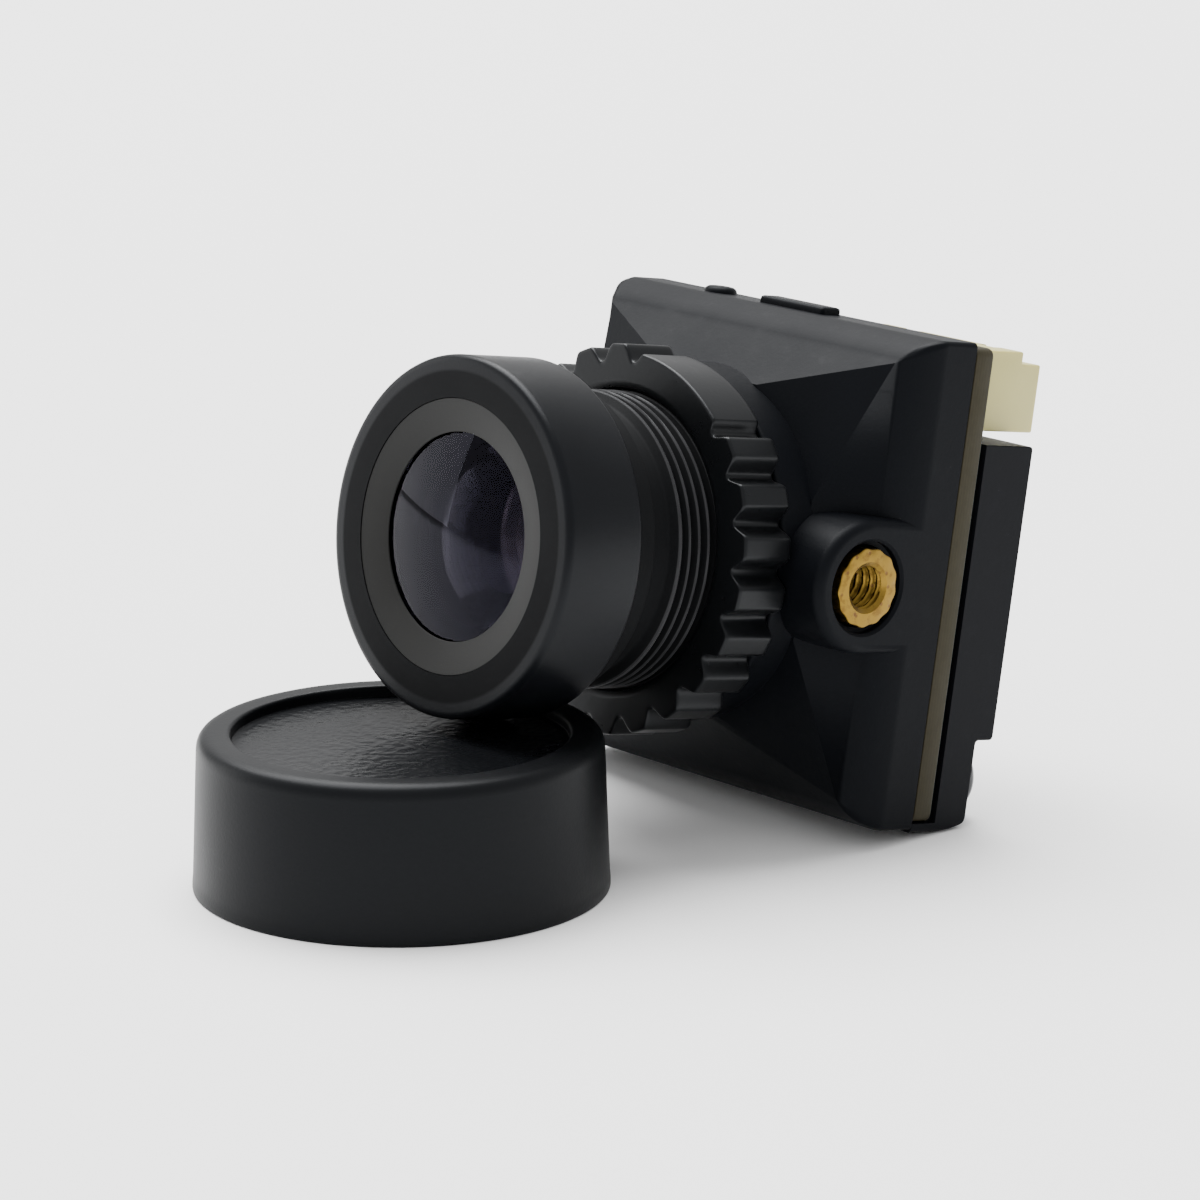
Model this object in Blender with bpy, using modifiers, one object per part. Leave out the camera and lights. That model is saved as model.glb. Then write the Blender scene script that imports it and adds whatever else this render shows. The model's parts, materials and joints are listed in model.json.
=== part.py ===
"""Micro first-person-view camera with an M12 lens, leaning on its own lens cap.

Everything is in metres, +Z up, with the floor at z = 0. The camera is modelled in its own frame, where the
lens looks along -Y and the circuit board's front face is y = 0, and an empty then tilts it back.
"""
import math

import bmesh
import bpy
from mathutils import Matrix

OBJECT_NAME = "micro_camera"
GAP = 0.06e-3                       # between parts that touch
ROUND_STEPS = 60                    # sides of a large circle
GLASS_STEPS = 36                    # sides of a piece inside the barrel
SMALL_STEPS = 24                    # sides of a screw or a hole

# Pose on the floor
TILT = math.radians(9.479)          # how far up the lens looks

# Front housing
HALF_WIDTH = 9.5e-3
HOUSING_TOP = 9.7e-3
HOUSING_BOTTOM = -10.1e-3
BAND_DEPTH = 2.9e-3                 # walls in front of the board
OCTAGON_RADIUS = 7.4e-3
OCTAGON_Y = -5.4e-3
TOP_ROUND = 1.3e-3                  # where the top and bottom walls turn to the front
SIDE_ROUND = 1.3e-3                 # where the side walls turn to the front
CORNER_ROUND = 0.2e-3               # corners between the walls
COLLAR_RADIUS = 7.3e-3
COLLAR_FRONT = -7.04e-3
BORE_RADIUS = 6.06e-3
POCKET_HALF = 6.6e-3
POCKET_DEPTH = 3.2e-3
POCKET_CORNER = 0.8e-3
OVERSHOOT = 1e-3                    # how far a cutter reaches past the surface that it opens

# Raised key and round nub on the housing's top wall
KEY_HALF = 1.9e-3
KEY_Y = -0.8e-3
KEY_HEIGHT = 0.3e-3
KEY_REACH = 0.55e-3                 # half of its depth
ROOT = 0.5e-3                       # how far an added shape reaches into the solid that carries it
NUB_X = -4.8e-3
NUB_RADIUS = 0.7e-3

# Side lugs and their brass inserts
LUG_Y = -4.32e-3
LUG_Z = -0.2e-3
LUG_RADIUS = 2.7e-3
LUG_INNER_X = 6.0e-3
LUG_REAR = -0.5e-3
INSERT_RADIUS = 1.6e-3
INSERT_BORE = 0.95e-3
INSERT_LENGTH = 2.5e-3
LUG_MOUTH_RADIUS = 1.85e-3
LUG_MOUTH_DEPTH = 0.35e-3

# Circuit board and screws
BOARD_THICKNESS = 1.0e-3
BOARD_TOP = 9.5e-3
BOARD_BOTTOM = -9.79e-3
CORNER_RADIUS = 0.4e-3
SCREW_X = 7.2e-3
SCREW_Z = -8.4e-3
SCREW_HEAD_RADIUS = 1.55e-3
SCREW_HEAD_RIM = 0.74e-3            # height of the head's straight side
SCREW_HEAD_HEIGHT = 1.45e-3
SCREW_RADIUS = 0.98e-3
SCREW_TIP_Y = -1.8e-3
SCREW_CLEARANCE = 0.2e-3            # free depth of the hole in front of the tip
SCREW_TIP = (0.7e-3, 0.4e-3)        # radius and length of the tapered tip
DRIVER_HALF = (0.85e-3, 0.2e-3)     # half length and half width of a driver slot
DRIVER_DEPTH = 0.75e-3
SCREW_HOLE = 1.1e-3
PEG_X = 8.2e-3
PEG_Z = 4.5e-3
PEG_RADIUS = 0.5e-3

SENSOR_HALF = (4.5e-3, 3.9e-3)
SENSOR_FRONT = -0.96e-3
WINDOW_HALF = (4.1e-3, 3.5e-3)
WINDOW_FRONT = -1.5e-3
GASKET_OUTER = 6.3e-3
GASKET_INNER = (5.0e-3, 4.5e-3)
GASKET_FRONT = -3.1e-3
GASKET_CORNER = 0.6e-3

# Rear cover
COVER_HALF_WIDTH = 9.45e-3
COVER_FRONT = BOARD_THICKNESS + GAP
COVER_BLOCK_BACK = 4.07e-3
COVER_PLATE_BACK = 3.1e-3
COVER_TOP = 5.63e-3
COVER_STEP = -6.47e-3
COVER_BOTTOM = -10.28e-3
COVER_RISE = ((1.5e-3, 0.0), (2.9e-3, 0.38e-3), (3.1e-3, 0.62e-3))  # how the bottom rises to the rear
COVER_ROOF = 3.2e-3                 # inner side of the cover's rear wall
COVER_SPACE_HALF = 8.2e-3           # space for the components
COVER_SPACE_Z = (-6.0e-3, 4.73e-3)
PEG_BLOCK = (0.9e-3, 0.8e-3)        # half width and half height of the block that carries a peg

# Connector
CONNECTOR_X = (0.16e-3, 8.16e-3)
CONNECTOR_Z = (6.01e-3, 9.3e-3)
CONNECTOR_BACK = 5.25e-3
CONNECTOR_STEP_Z = 8.8e-3
CONNECTOR_STEP_BACK = 4.17e-3
CONNECTOR_FLOOR = 2.2e-3
WELL_LIP = 0.5e-3
CONNECTOR_WALL = 0.7e-3
CONTACT_COUNT = 5
CONTACT_PITCH = 1.25e-3
CONTACT_HALF = 0.2e-3
CONTACT_TIP = 4.6e-3

# Lock ring
RING_FRONT = -9.6e-3
RING_BACK = -7.1e-3
RING_TIP = 7.85e-3
RING_VALLEY = 7.2e-3
RING_BORE = 6.03e-3
RING_PITCHES = 24
WIDE_TOOTH = (45.0, 90.0)           # degrees between the valleys beside the wide tooth
WIDE_TOOTH_RADIUS = 7.55e-3
VALLEY_HALF = 0.9                   # degrees from the middle of a valley to where its tooth rises
TOOTH_FLANK = 5.2                   # degrees from the middle of a valley to a tooth's top
WIDE_FLANK = 3.2                    # the same beside the wide tooth

# Lens
HEAD_RADIUS = 7.12e-3
HEAD_FRONT = -18.1e-3
HEAD_BACK = -14.35e-3
NECK_RADIUS = 6.3e-3
NECK_BACK = -12.9e-3
RELIEF_RADIUS = 5.6e-3
THREAD_RADIUS = 5.92e-3
THREAD_FRONT = -11.5e-3
THREAD_RUNOUT = 0.3e-3
NECK_SLOPE = 0.1e-3
BARREL_CHAMFER = 0.25e-3
BEZEL_RADIUS = 4.1e-3               # clear opening of the bezel ring
BEZEL_FRONT_Y = -17.75e-3           # its inner edge, in front and behind
BEZEL_REAR_Y = -17.4e-3
BEZEL_SINK = 0.02e-3
FIT_BEHIND = 0.1e-3                 # play between the bezel ring and its shoulder
BARREL_BACK = -3.45e-3
BEZEL_SEAT_RADIUS = 5.42e-3
BEZEL_SEAT_Y = -17.0e-3
FRONT_CELL_RADIUS = 5.0e-3
FRONT_CELL_Y = -14.5e-3
REAR_CELL_RADIUS = 4.0e-3
REAR_CELL_Y = -7.0e-3
SHOULDER_RADIUS = 3.3e-3
FILTER_SEAT_Y = -5.0e-3
FILTER_SEAT_RADIUS = 4.5e-3
FIT = 0.07e-3                       # radial play of the pieces inside the barrel

# Lens cap, standing upside down on its open side
CAP_X = 0.42e-3
CAP_FROM_AXIS_Y = -20.64e-3         # cap centre measured from the tilt's origin
CAP_TOP_RADIUS = 7.93e-3
CAP_BASE_RADIUS = 8.18e-3
CAP_HEIGHT = 6.23e-3
CAP_RECESS_RADIUS = 6.6e-3
CAP_RECESS_DEPTH = 0.46e-3
CAP_BORE = 7.2e-3
CAP_BORE_DEPTH = 4.75e-3
CAP_ROUND = 0.5e-3
CAP_EDGE = 0.15e-3                  # chamfer of the recess's rim and of the bore's mouth
CAP_FLOOR_EDGE = 0.1e-3             # chamfer where the recess's floor meets its wall
CAP_FOOT = ((0.08e-3, 0.35e-3), (0.0, 0.2e-3))  # the foot's step: how far in, how high

# The screw heads' lower rims stand on the floor
HEAD_REST_Y = COVER_PLATE_BACK + GAP + SCREW_HEAD_RIM
HEAD_REST_Z = SCREW_Z - SCREW_HEAD_RADIUS
AXIS_HEIGHT = HEAD_REST_Y * math.sin(TILT) - HEAD_REST_Z * math.cos(TILT)
# The model's origin is under the middle of its box
REAR_REACH = CONNECTOR_BACK * math.cos(TILT) + CONNECTOR_STEP_Z * math.sin(TILT)
AXIS_Y = -(CAP_FROM_AXIS_Y - CAP_BASE_RADIUS + REAR_REACH) / 2.0


def clear_scene():
    """Remove every object that the scene opens with."""
    for item in list(bpy.data.objects):
        bpy.data.objects.remove(item, do_unlink=True)


def new_collection(name):
    """Make a collection in the scene."""
    group = bpy.data.collections.new(name)
    bpy.context.scene.collection.children.link(group)
    return group


def finish(name, colour, roughness, metallic=0.0, alpha=1.0):
    """Make a Principled material."""
    material = bpy.data.materials.new(name)
    material.use_nodes = True
    shader = material.node_tree.nodes["Principled BSDF"]
    shader.inputs["Base Color"].default_value = (*colour, 1.0)
    shader.inputs["Roughness"].default_value = roughness
    shader.inputs["Metallic"].default_value = metallic
    shader.inputs["Alpha"].default_value = alpha
    return material


def make_finishes():
    """Make the finishes of all sub-parts, by name."""
    return {
        "housing": finish("housing_plastic", (0.025, 0.026, 0.027), 0.55),
        "cap": finish("cap_plastic", (0.022, 0.022, 0.023), 0.6),
        "lens": finish("black_anodised", (0.03, 0.03, 0.032), 0.45, 0.5),
        "brass": finish("brass", (0.72, 0.5, 0.2), 0.3, 1.0),
        "board": finish("circuit_board", (0.09, 0.08, 0.03), 0.5),
        "ivory": finish("connector_plastic", (0.75, 0.71, 0.6), 0.5),
        "tin": finish("tinned_contact", (0.75, 0.74, 0.72), 0.3, 1.0),
        "screw": finish("blackened_steel", (0.02, 0.02, 0.022), 0.25, 0.6),
        "chip": finish("chip_epoxy", (0.03, 0.03, 0.03), 0.6),
        "ceramic": finish("sensor_ceramic", (0.5, 0.48, 0.42), 0.6),
        "ferrite": finish("ferrite", (0.12, 0.12, 0.12), 0.7),
        "metal_can": finish("metal_can", (0.7, 0.68, 0.62), 0.35, 1.0),
        "rubber": finish("gasket_foam", (0.02, 0.02, 0.02), 0.9),
        "glass": finish("lens_glass", (0.35, 0.4, 0.45), 0.05, 0.0, 0.35),
        "filter": finish("filter_glass", (0.55, 0.3, 0.35), 0.05, 0.0, 0.35),
    }


class Builder:
    """Puts parts and cutters in their collections, under the empty that they belong to."""

    def __init__(self):
        self.parts = new_collection(OBJECT_NAME)
        self.cutters = new_collection("cutters")
        self.finishes = make_finishes()
        self.tilt = self.empty("camera_tilt", (0.0, AXIS_Y, AXIS_HEIGHT))
        self.tilt.rotation_euler = (-TILT, 0.0, 0.0)
        self.optics = self.empty("optical_axis", (0.0, 0.0, 0.0), self.tilt)
        self.cap = self.empty("cap_centre", (CAP_X, AXIS_Y + CAP_FROM_AXIS_Y, 0.0))

    def empty(self, name, place, parent=None):
        """Make an empty that other objects hang on."""
        holder = bpy.data.objects.new(name, None)
        holder.location = place
        holder.parent = parent
        self.cutters.objects.link(holder)
        return holder

    def part(self, name, mesh, slot, parent):
        """Make one visible sub-part of a mesh."""
        item = bpy.data.objects.new(name, mesh)
        item.parent = parent
        mesh.materials.append(self.finishes[slot])
        self.parts.objects.link(item)
        return item

    def tool(self, name, mesh, parent):
        """Make a hidden cutter of a mesh."""
        item = bpy.data.objects.new(name, mesh)
        item.parent = parent
        item.hide_render = True
        item.display_type = "WIRE"
        self.cutters.objects.link(item)
        return item

    def combine(self, target, mesh, operation):
        """Add a Boolean of a mesh to a part."""
        name = f"{target.name}_{operation.lower()}_{len(target.modifiers)}"
        boolean = target.modifiers.new(name, "BOOLEAN")
        boolean.operation = operation
        boolean.solver = "EXACT"
        boolean.object = self.tool(name, mesh, target.parent)


def rounded_rectangle(low, high, radius, steps=4):
    """Points of a rectangle's outline with round corners, anticlockwise."""
    centres = (
        (high[0] - radius, high[1] - radius, 0.0),
        (low[0] + radius, high[1] - radius, 90.0),
        (low[0] + radius, low[1] + radius, 180.0),
        (high[0] - radius, low[1] + radius, 270.0),
    )
    points = []
    for across, up, start in centres:
        for step in range(steps + 1):
            angle = math.radians(start + 90.0 * step / steps)
            points.append((across + radius * math.cos(angle), up + radius * math.sin(angle)))
    return points


def circle(across, up, radius, steps=SMALL_STEPS):
    """Points of a circle's outline."""
    angles = (math.tau * step / steps for step in range(steps))
    return [(across + radius * math.cos(a), up + radius * math.sin(a)) for a in angles]


def extruded(name, loops, start, end, axis="Y"):
    """Make a closed mesh of flat outlines, filled and extruded along an axis from start to end."""
    curve = bpy.data.curves.new(name, "CURVE")
    curve.dimensions = "2D"
    curve.fill_mode = "BOTH"
    curve.extrude = (end - start) / 2.0
    for loop in loops:
        spline = curve.splines.new("POLY")
        spline.points.add(len(loop) - 1)
        for point, (across, up) in zip(spline.points, loop):
            point.co = (across, up, 0.0, 1.0)
        spline.use_cyclic_u = True
    holder = bpy.data.objects.new(name, curve)
    bpy.context.scene.collection.objects.link(holder)
    bpy.context.view_layer.update()
    evaluated = holder.evaluated_get(bpy.context.evaluated_depsgraph_get())
    mesh = bpy.data.meshes.new_from_object(evaluated)
    bpy.data.objects.remove(holder, do_unlink=True)
    bpy.data.curves.remove(curve)
    middle = (start + end) / 2.0
    turns = {
        "X": Matrix(((0, 0, 1, middle), (1, 0, 0, 0), (0, 1, 0, 0), (0, 0, 0, 1))),
        "Y": Matrix.Translation((0.0, middle, 0.0)) @ Matrix.Rotation(math.pi / 2.0, 4, "X"),
        "Z": Matrix.Translation((0.0, 0.0, middle)),
    }
    shell = bmesh.new()
    shell.from_mesh(mesh)
    bmesh.ops.remove_doubles(shell, verts=shell.verts, dist=1e-7)
    bmesh.ops.transform(shell, matrix=turns[axis], verts=shell.verts)
    shell.to_mesh(mesh)
    shell.free()
    mesh.name = name
    return mesh


def box(name, low, high):
    """Make a box mesh between two corners."""
    shell = bmesh.new()
    bmesh.ops.create_cube(shell, size=1.0)
    middle = [(a + b) / 2.0 for a, b in zip(low, high)]
    sides = [b - a for a, b in zip(low, high)]
    place = Matrix.Translation(middle) @ Matrix.Diagonal((*sides, 1.0))
    bmesh.ops.transform(shell, matrix=place, verts=shell.verts)
    mesh = bpy.data.meshes.new(name)
    shell.to_mesh(mesh)
    shell.free()
    return mesh


def cylinder(name, radius, start, end, across=0.0, up=0.0, axis="Y", steps=SMALL_STEPS):
    """Make a cylinder mesh along an axis, centred at (across, up) in the other two axes."""
    return extruded(name, [circle(across, up, radius, steps)], start, end, axis)


def turned(builder, name, profile, slot, parent, steps=ROUND_STEPS, place=(0.0, 0.0, 0.0), axis="Y"):
    """Turn a profile of (radius, position) points about an axis, as a part.

    A profile that ends on the axis at both ends is a solid; any other is closed into a ring.
    """
    solid = profile[0][0] == 0.0 and profile[-1][0] == 0.0
    following = profile[1:] + profile[:1]
    area = sum(a[0] * b[1] - b[0] * a[1] for a, b in zip(profile, following))
    if area < 0.0:
        profile = profile[::-1]
    mesh = bpy.data.meshes.new(name)
    if axis == "Y":
        points = [(radius, position, 0.0) for radius, position in profile]
    else:
        points = [(radius, 0.0, position) for radius, position in profile]
    count = len(points)
    edges = [(index, index + 1) for index in range(count - 1)]
    if not solid:
        edges.append((count - 1, 0))
    mesh.from_pydata(points, edges, [])
    part = builder.part(name, mesh, slot, parent)
    part.location = place
    screw = part.modifiers.new("turn", "SCREW")
    screw.axis = axis
    screw.steps = steps
    screw.render_steps = steps
    screw.use_merge_vertices = True
    screw.merge_threshold = 1e-7
    screw.use_normal_flip = True
    return part


def build_front_housing(builder):
    """Front housing: an eight-sided cone on a square box, with a collar, two side lugs and a board pocket."""
    shell = bmesh.new()
    for x in (-HALF_WIDTH, HALF_WIDTH):
        for z in (HOUSING_BOTTOM, HOUSING_TOP):
            for y in (-BAND_DEPTH, 0.0):
                shell.verts.new((x, y, z))
    for corner in range(8):
        angle = math.radians(22.5 + 45.0 * corner)
        shell.verts.new((OCTAGON_RADIUS * math.cos(angle), OCTAGON_Y, OCTAGON_RADIUS * math.sin(angle)))
    bmesh.ops.convex_hull(shell, input=shell.verts)
    bmesh.ops.dissolve_limit(shell, angle_limit=math.radians(1.0), verts=shell.verts, edges=shell.edges)
    weights = shell.edges.layers.float.new("bevel_weight_edge")
    for edge in shell.edges:
        depths = [vert.co.y for vert in edge.verts]
        sides = [vert.co.x for vert in edge.verts]
        if min(depths) < -BAND_DEPTH * 1.01 or min(depths) > -1e-6:
            continue
        if max(depths) > -1e-6:
            width = CORNER_ROUND
        elif sides[0] * sides[1] > 0.0:
            width = SIDE_ROUND
        else:
            width = TOP_ROUND
        edge[weights] = width / SIDE_ROUND
    mesh = bpy.data.meshes.new("front_housing")
    shell.to_mesh(mesh)
    shell.free()
    housing = builder.part("front_housing", mesh, "housing", builder.tilt)
    rounding = housing.modifiers.new("wall_rounding", "BEVEL")
    rounding.limit_method = "WEIGHT"
    rounding.width = SIDE_ROUND
    rounding.segments = 4

    collar = cylinder("collar", COLLAR_RADIUS, COLLAR_FRONT, -POCKET_DEPTH, steps=ROUND_STEPS)
    builder.combine(housing, collar, "UNION")
    for side in (-1.0, 1.0):
        ends = sorted((side * LUG_INNER_X, side * HALF_WIDTH))
        nose = [math.radians(90.0 + 180.0 * step / 16) for step in range(17)]
        outline = [(LUG_REAR, LUG_Z - LUG_RADIUS), (LUG_REAR, LUG_Z + LUG_RADIUS)]
        outline += [(LUG_Y + LUG_RADIUS * math.cos(a), LUG_Z + LUG_RADIUS * math.sin(a)) for a in nose]
        builder.combine(housing, extruded("lug", [outline], *ends, axis="X"), "UNION")
    key_low = (-KEY_HALF, KEY_Y - KEY_REACH, HOUSING_TOP - ROOT)
    key_high = (KEY_HALF, KEY_Y + KEY_REACH, HOUSING_TOP + KEY_HEIGHT)
    builder.combine(housing, box("key", key_low, key_high), "UNION")
    nub_ends = (HOUSING_TOP - ROOT, HOUSING_TOP + KEY_HEIGHT)
    builder.combine(housing, cylinder("nub", NUB_RADIUS, *nub_ends, NUB_X, KEY_Y, "Z", 16), "UNION")

    bore = cylinder("bore", BORE_RADIUS, COLLAR_FRONT - OVERSHOOT, OVERSHOOT, steps=ROUND_STEPS)
    builder.combine(housing, bore, "DIFFERENCE")
    corner = (POCKET_HALF, POCKET_HALF)
    pocket_outline = rounded_rectangle((-POCKET_HALF, -POCKET_HALF), corner, POCKET_CORNER)
    pocket = extruded("pocket", [pocket_outline], -POCKET_DEPTH, OVERSHOOT)
    builder.combine(housing, pocket, "DIFFERENCE")
    for side in (-1.0, 1.0):
        hole_end = SCREW_TIP_Y - SCREW_CLEARANCE
        thread = cylinder("screw_hole", SCREW_RADIUS + FIT, hole_end, OVERSHOOT, side * SCREW_X, SCREW_Z)
        builder.combine(housing, thread, "DIFFERENCE")
        hole_ends = sorted((side * (HALF_WIDTH - INSERT_LENGTH - GAP), side * (HALF_WIDTH + OVERSHOOT)))
        hole = cylinder("insert_hole", INSERT_RADIUS + FIT, *hole_ends, LUG_Y, LUG_Z, "X", 32)
        builder.combine(housing, hole, "DIFFERENCE")
        mouth_ends = sorted((side * (HALF_WIDTH - LUG_MOUTH_DEPTH), side * (HALF_WIDTH + OVERSHOOT)))
        mouth = cylinder("insert_mouth", LUG_MOUTH_RADIUS, *mouth_ends, LUG_Y, LUG_Z, "X", 32)
        builder.combine(housing, mouth, "DIFFERENCE")


def build_inserts(builder):
    """Brass M2 inserts in the side lugs."""
    for side, name in ((-1.0, "left"), (1.0, "right")):
        ends = sorted((side * (HALF_WIDTH - INSERT_LENGTH), side * HALF_WIDTH))
        loops = [circle(LUG_Y, LUG_Z, INSERT_RADIUS, 32), circle(LUG_Y, LUG_Z, INSERT_BORE, 32)]
        mesh = extruded(f"side_insert_{name}", loops, *ends, axis="X")
        builder.part(f"side_insert_{name}", mesh, "brass", builder.tilt)


def build_board(builder):
    """Circuit board with its image sensor, the sensor's window and the dust gasket around it."""
    outline = rounded_rectangle((-HALF_WIDTH, BOARD_BOTTOM), (HALF_WIDTH, BOARD_TOP), CORNER_RADIUS)
    holes = [circle(side * SCREW_X, SCREW_Z, SCREW_HOLE) for side in (-1.0, 1.0)]
    holes += [circle(side * PEG_X, PEG_Z, PEG_RADIUS + FIT) for side in (-1.0, 1.0)]
    mesh = extruded("sensor_board", [outline] + holes, GAP, BOARD_THICKNESS)
    builder.part("sensor_board", mesh, "board", builder.tilt)
    across, up = SENSOR_HALF
    sensor = box("image_sensor", (-across, SENSOR_FRONT, -up), (across, 0.0, up))
    builder.part("image_sensor", sensor, "ceramic", builder.tilt)
    across, up = WINDOW_HALF
    window = box("sensor_window", (-across, WINDOW_FRONT, -up), (across, SENSOR_FRONT - GAP, up))
    builder.part("sensor_window", window, "glass", builder.tilt)
    across, up = GASKET_INNER
    frame_loops = [
        rounded_rectangle((-GASKET_OUTER, -GASKET_OUTER), (GASKET_OUTER, GASKET_OUTER), GASKET_CORNER),
        rounded_rectangle((-across, -up), (across, up), GASKET_CORNER),
    ]
    gasket = extruded("dust_gasket", frame_loops, GASKET_FRONT, 0.0)
    builder.part("dust_gasket", gasket, "rubber", builder.tilt)


def build_electronics(builder):
    """Components on the rear of the board, under the cover: (name, finish, x, z, width, height, thickness)."""
    components = (
        ("image_processor", "chip", -3.4e-3, -1.6e-3, 7.0e-3, 7.0e-3, 0.9e-3),
        ("flash_memory", "chip", 3.4e-3, 1.9e-3, 4.9e-3, 3.9e-3, 0.8e-3),
        ("voltage_regulator", "chip", 6.6e-3, -4.1e-3, 1.6e-3, 2.9e-3, 1.1e-3),
        ("power_inductor", "ferrite", 3.2e-3, -4.0e-3, 3.0e-3, 3.0e-3, 1.2e-3),
        ("clock_crystal", "metal_can", 2.6e-3, -1.2e-3, 3.2e-3, 1.6e-3, 0.7e-3),
        ("input_capacitor", "ceramic", 6.8e-3, -1.1e-3, 0.8e-3, 1.6e-3, 0.8e-3),
        ("output_capacitor", "ceramic", 5.4e-3, -1.1e-3, 0.8e-3, 1.6e-3, 0.8e-3),
    )
    for name, slot, x, z, width, height, thickness in components:
        low = (x - width / 2.0, COVER_FRONT, z - height / 2.0)
        high = (x + width / 2.0, COVER_FRONT + thickness, z + height / 2.0)
        builder.part(name, box(name, low, high), slot, builder.tilt)


def build_connector(builder):
    """Rear-facing connector: an ivory shroud with a row of square pins."""
    low_x, high_x = CONNECTOR_X
    low_z, high_z = CONNECTOR_Z
    side = [
        (COVER_FRONT, low_z),
        (CONNECTOR_BACK, low_z),
        (CONNECTOR_BACK, CONNECTOR_STEP_Z),
        (CONNECTOR_STEP_BACK, CONNECTOR_STEP_Z),
        (CONNECTOR_STEP_BACK, high_z),
        (COVER_FRONT, high_z),
    ]
    mesh = extruded("connector_shroud", [side], low_x, high_x, axis="X")
    shroud = builder.part("connector_shroud", mesh, "ivory", builder.tilt)
    well_low = (low_x + CONNECTOR_WALL, CONNECTOR_FLOOR, low_z + CONNECTOR_WALL)
    well_high = (high_x - CONNECTOR_WALL, CONNECTOR_BACK + OVERSHOOT, CONNECTOR_STEP_Z - WELL_LIP)
    builder.combine(shroud, box("plug_well", well_low, well_high), "DIFFERENCE")
    middle = (low_x + high_x) / 2.0
    row_z = (well_low[2] + well_high[2]) / 2.0
    for index in range(CONTACT_COUNT):
        x = middle + (index - (CONTACT_COUNT - 1) / 2.0) * CONTACT_PITCH
        reach = CONTACT_HALF + FIT
        slot_low = (x - reach, COVER_FRONT - OVERSHOOT, row_z - reach)
        slot_high = (x + reach, CONNECTOR_FLOOR + OVERSHOOT, row_z + reach)
        builder.combine(shroud, box("contact_slot", slot_low, slot_high), "DIFFERENCE")
        name = f"connector_contact_{index + 1}"
        pin_low = (x - CONTACT_HALF, COVER_FRONT, row_z - CONTACT_HALF)
        pin_high = (x + CONTACT_HALF, CONTACT_TIP, row_z + CONTACT_HALF)
        builder.part(name, box(name, pin_low, pin_high), "tin", builder.tilt)


def build_rear_cover(builder):
    """Rear cover: a hollow block with a thinner lower plate and a lip under the board."""
    lip_top = BOARD_BOTTOM - GAP
    outline = [
        (COVER_FRONT, COVER_TOP),
        (COVER_FRONT, lip_top),
        (GAP, lip_top),
        (GAP, COVER_BOTTOM),
    ]
    outline += [(back, COVER_BOTTOM + rise) for back, rise in COVER_RISE]
    outline += [
        (COVER_PLATE_BACK, COVER_STEP),
        (COVER_BLOCK_BACK, COVER_STEP),
        (COVER_BLOCK_BACK, COVER_TOP),
    ]
    mesh = extruded("rear_cover", [outline], -COVER_HALF_WIDTH, COVER_HALF_WIDTH, axis="X")
    cover = builder.part("rear_cover", mesh, "housing", builder.tilt)
    limits_low = (-COVER_HALF_WIDTH, COVER_BOTTOM)
    limits_high = (COVER_HALF_WIDTH, COVER_TOP + 3e-3)
    limits = extruded("cover_limits", [rounded_rectangle(limits_low, limits_high, CORNER_RADIUS)], -1e-3, 6e-3)
    builder.combine(cover, limits, "INTERSECT")
    space_low = (-COVER_SPACE_HALF, 0.0, COVER_SPACE_Z[0])
    cavity = box("component_space", space_low, (COVER_SPACE_HALF, COVER_ROOF, COVER_SPACE_Z[1]))
    builder.combine(cover, cavity, "DIFFERENCE")
    for side in (-1.0, 1.0):
        hole = cylinder("cover_hole", SCREW_HOLE, 0.0, COVER_PLATE_BACK + OVERSHOOT, side * SCREW_X, SCREW_Z)
        builder.combine(cover, hole, "DIFFERENCE")
        root_low = (side * PEG_X - PEG_BLOCK[0], COVER_FRONT, PEG_Z - PEG_BLOCK[1])
        root_high = (side * PEG_X + PEG_BLOCK[0], COVER_ROOF + ROOT, PEG_Z + PEG_BLOCK[1])
        peg = box("peg_root", root_low, root_high)
        builder.combine(cover, peg, "UNION")
        pin = cylinder("peg", PEG_RADIUS, GAP, COVER_ROOF, side * PEG_X, PEG_Z)
        builder.combine(cover, pin, "UNION")


def build_screws(builder):
    """The two M2 screws that hold the cover and the board to the housing."""
    seat = COVER_PLATE_BACK + GAP
    for side, name in ((-1.0, "cover_screw_left"), (1.0, "cover_screw_right")):
        profile = [(0.0, SCREW_TIP_Y), (SCREW_TIP[0], SCREW_TIP_Y), (SCREW_RADIUS, SCREW_TIP_Y + SCREW_TIP[1])]
        profile += [(SCREW_RADIUS, seat), (SCREW_HEAD_RADIUS, seat)]
        crown = SCREW_HEAD_HEIGHT - SCREW_HEAD_RIM
        for step in range(6):
            angle = math.radians(90.0 * step / 6)
            profile.append((SCREW_HEAD_RADIUS * math.cos(angle), seat + SCREW_HEAD_RIM + crown * math.sin(angle)))
        profile.append((0.0, seat + SCREW_HEAD_HEIGHT))
        place = (side * SCREW_X, 0.0, SCREW_Z)
        screw = turned(builder, name, profile, "screw", builder.tilt, SMALL_STEPS, place)
        top = seat + SCREW_HEAD_HEIGHT
        for wide, high in (DRIVER_HALF, DRIVER_HALF[::-1]):
            low = (side * SCREW_X - wide, top - DRIVER_DEPTH, SCREW_Z - high)
            slot = box("driver_slot", low, (side * SCREW_X + wide, top + OVERSHOOT, SCREW_Z + high))
            builder.combine(screw, slot, "DIFFERENCE")


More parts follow.
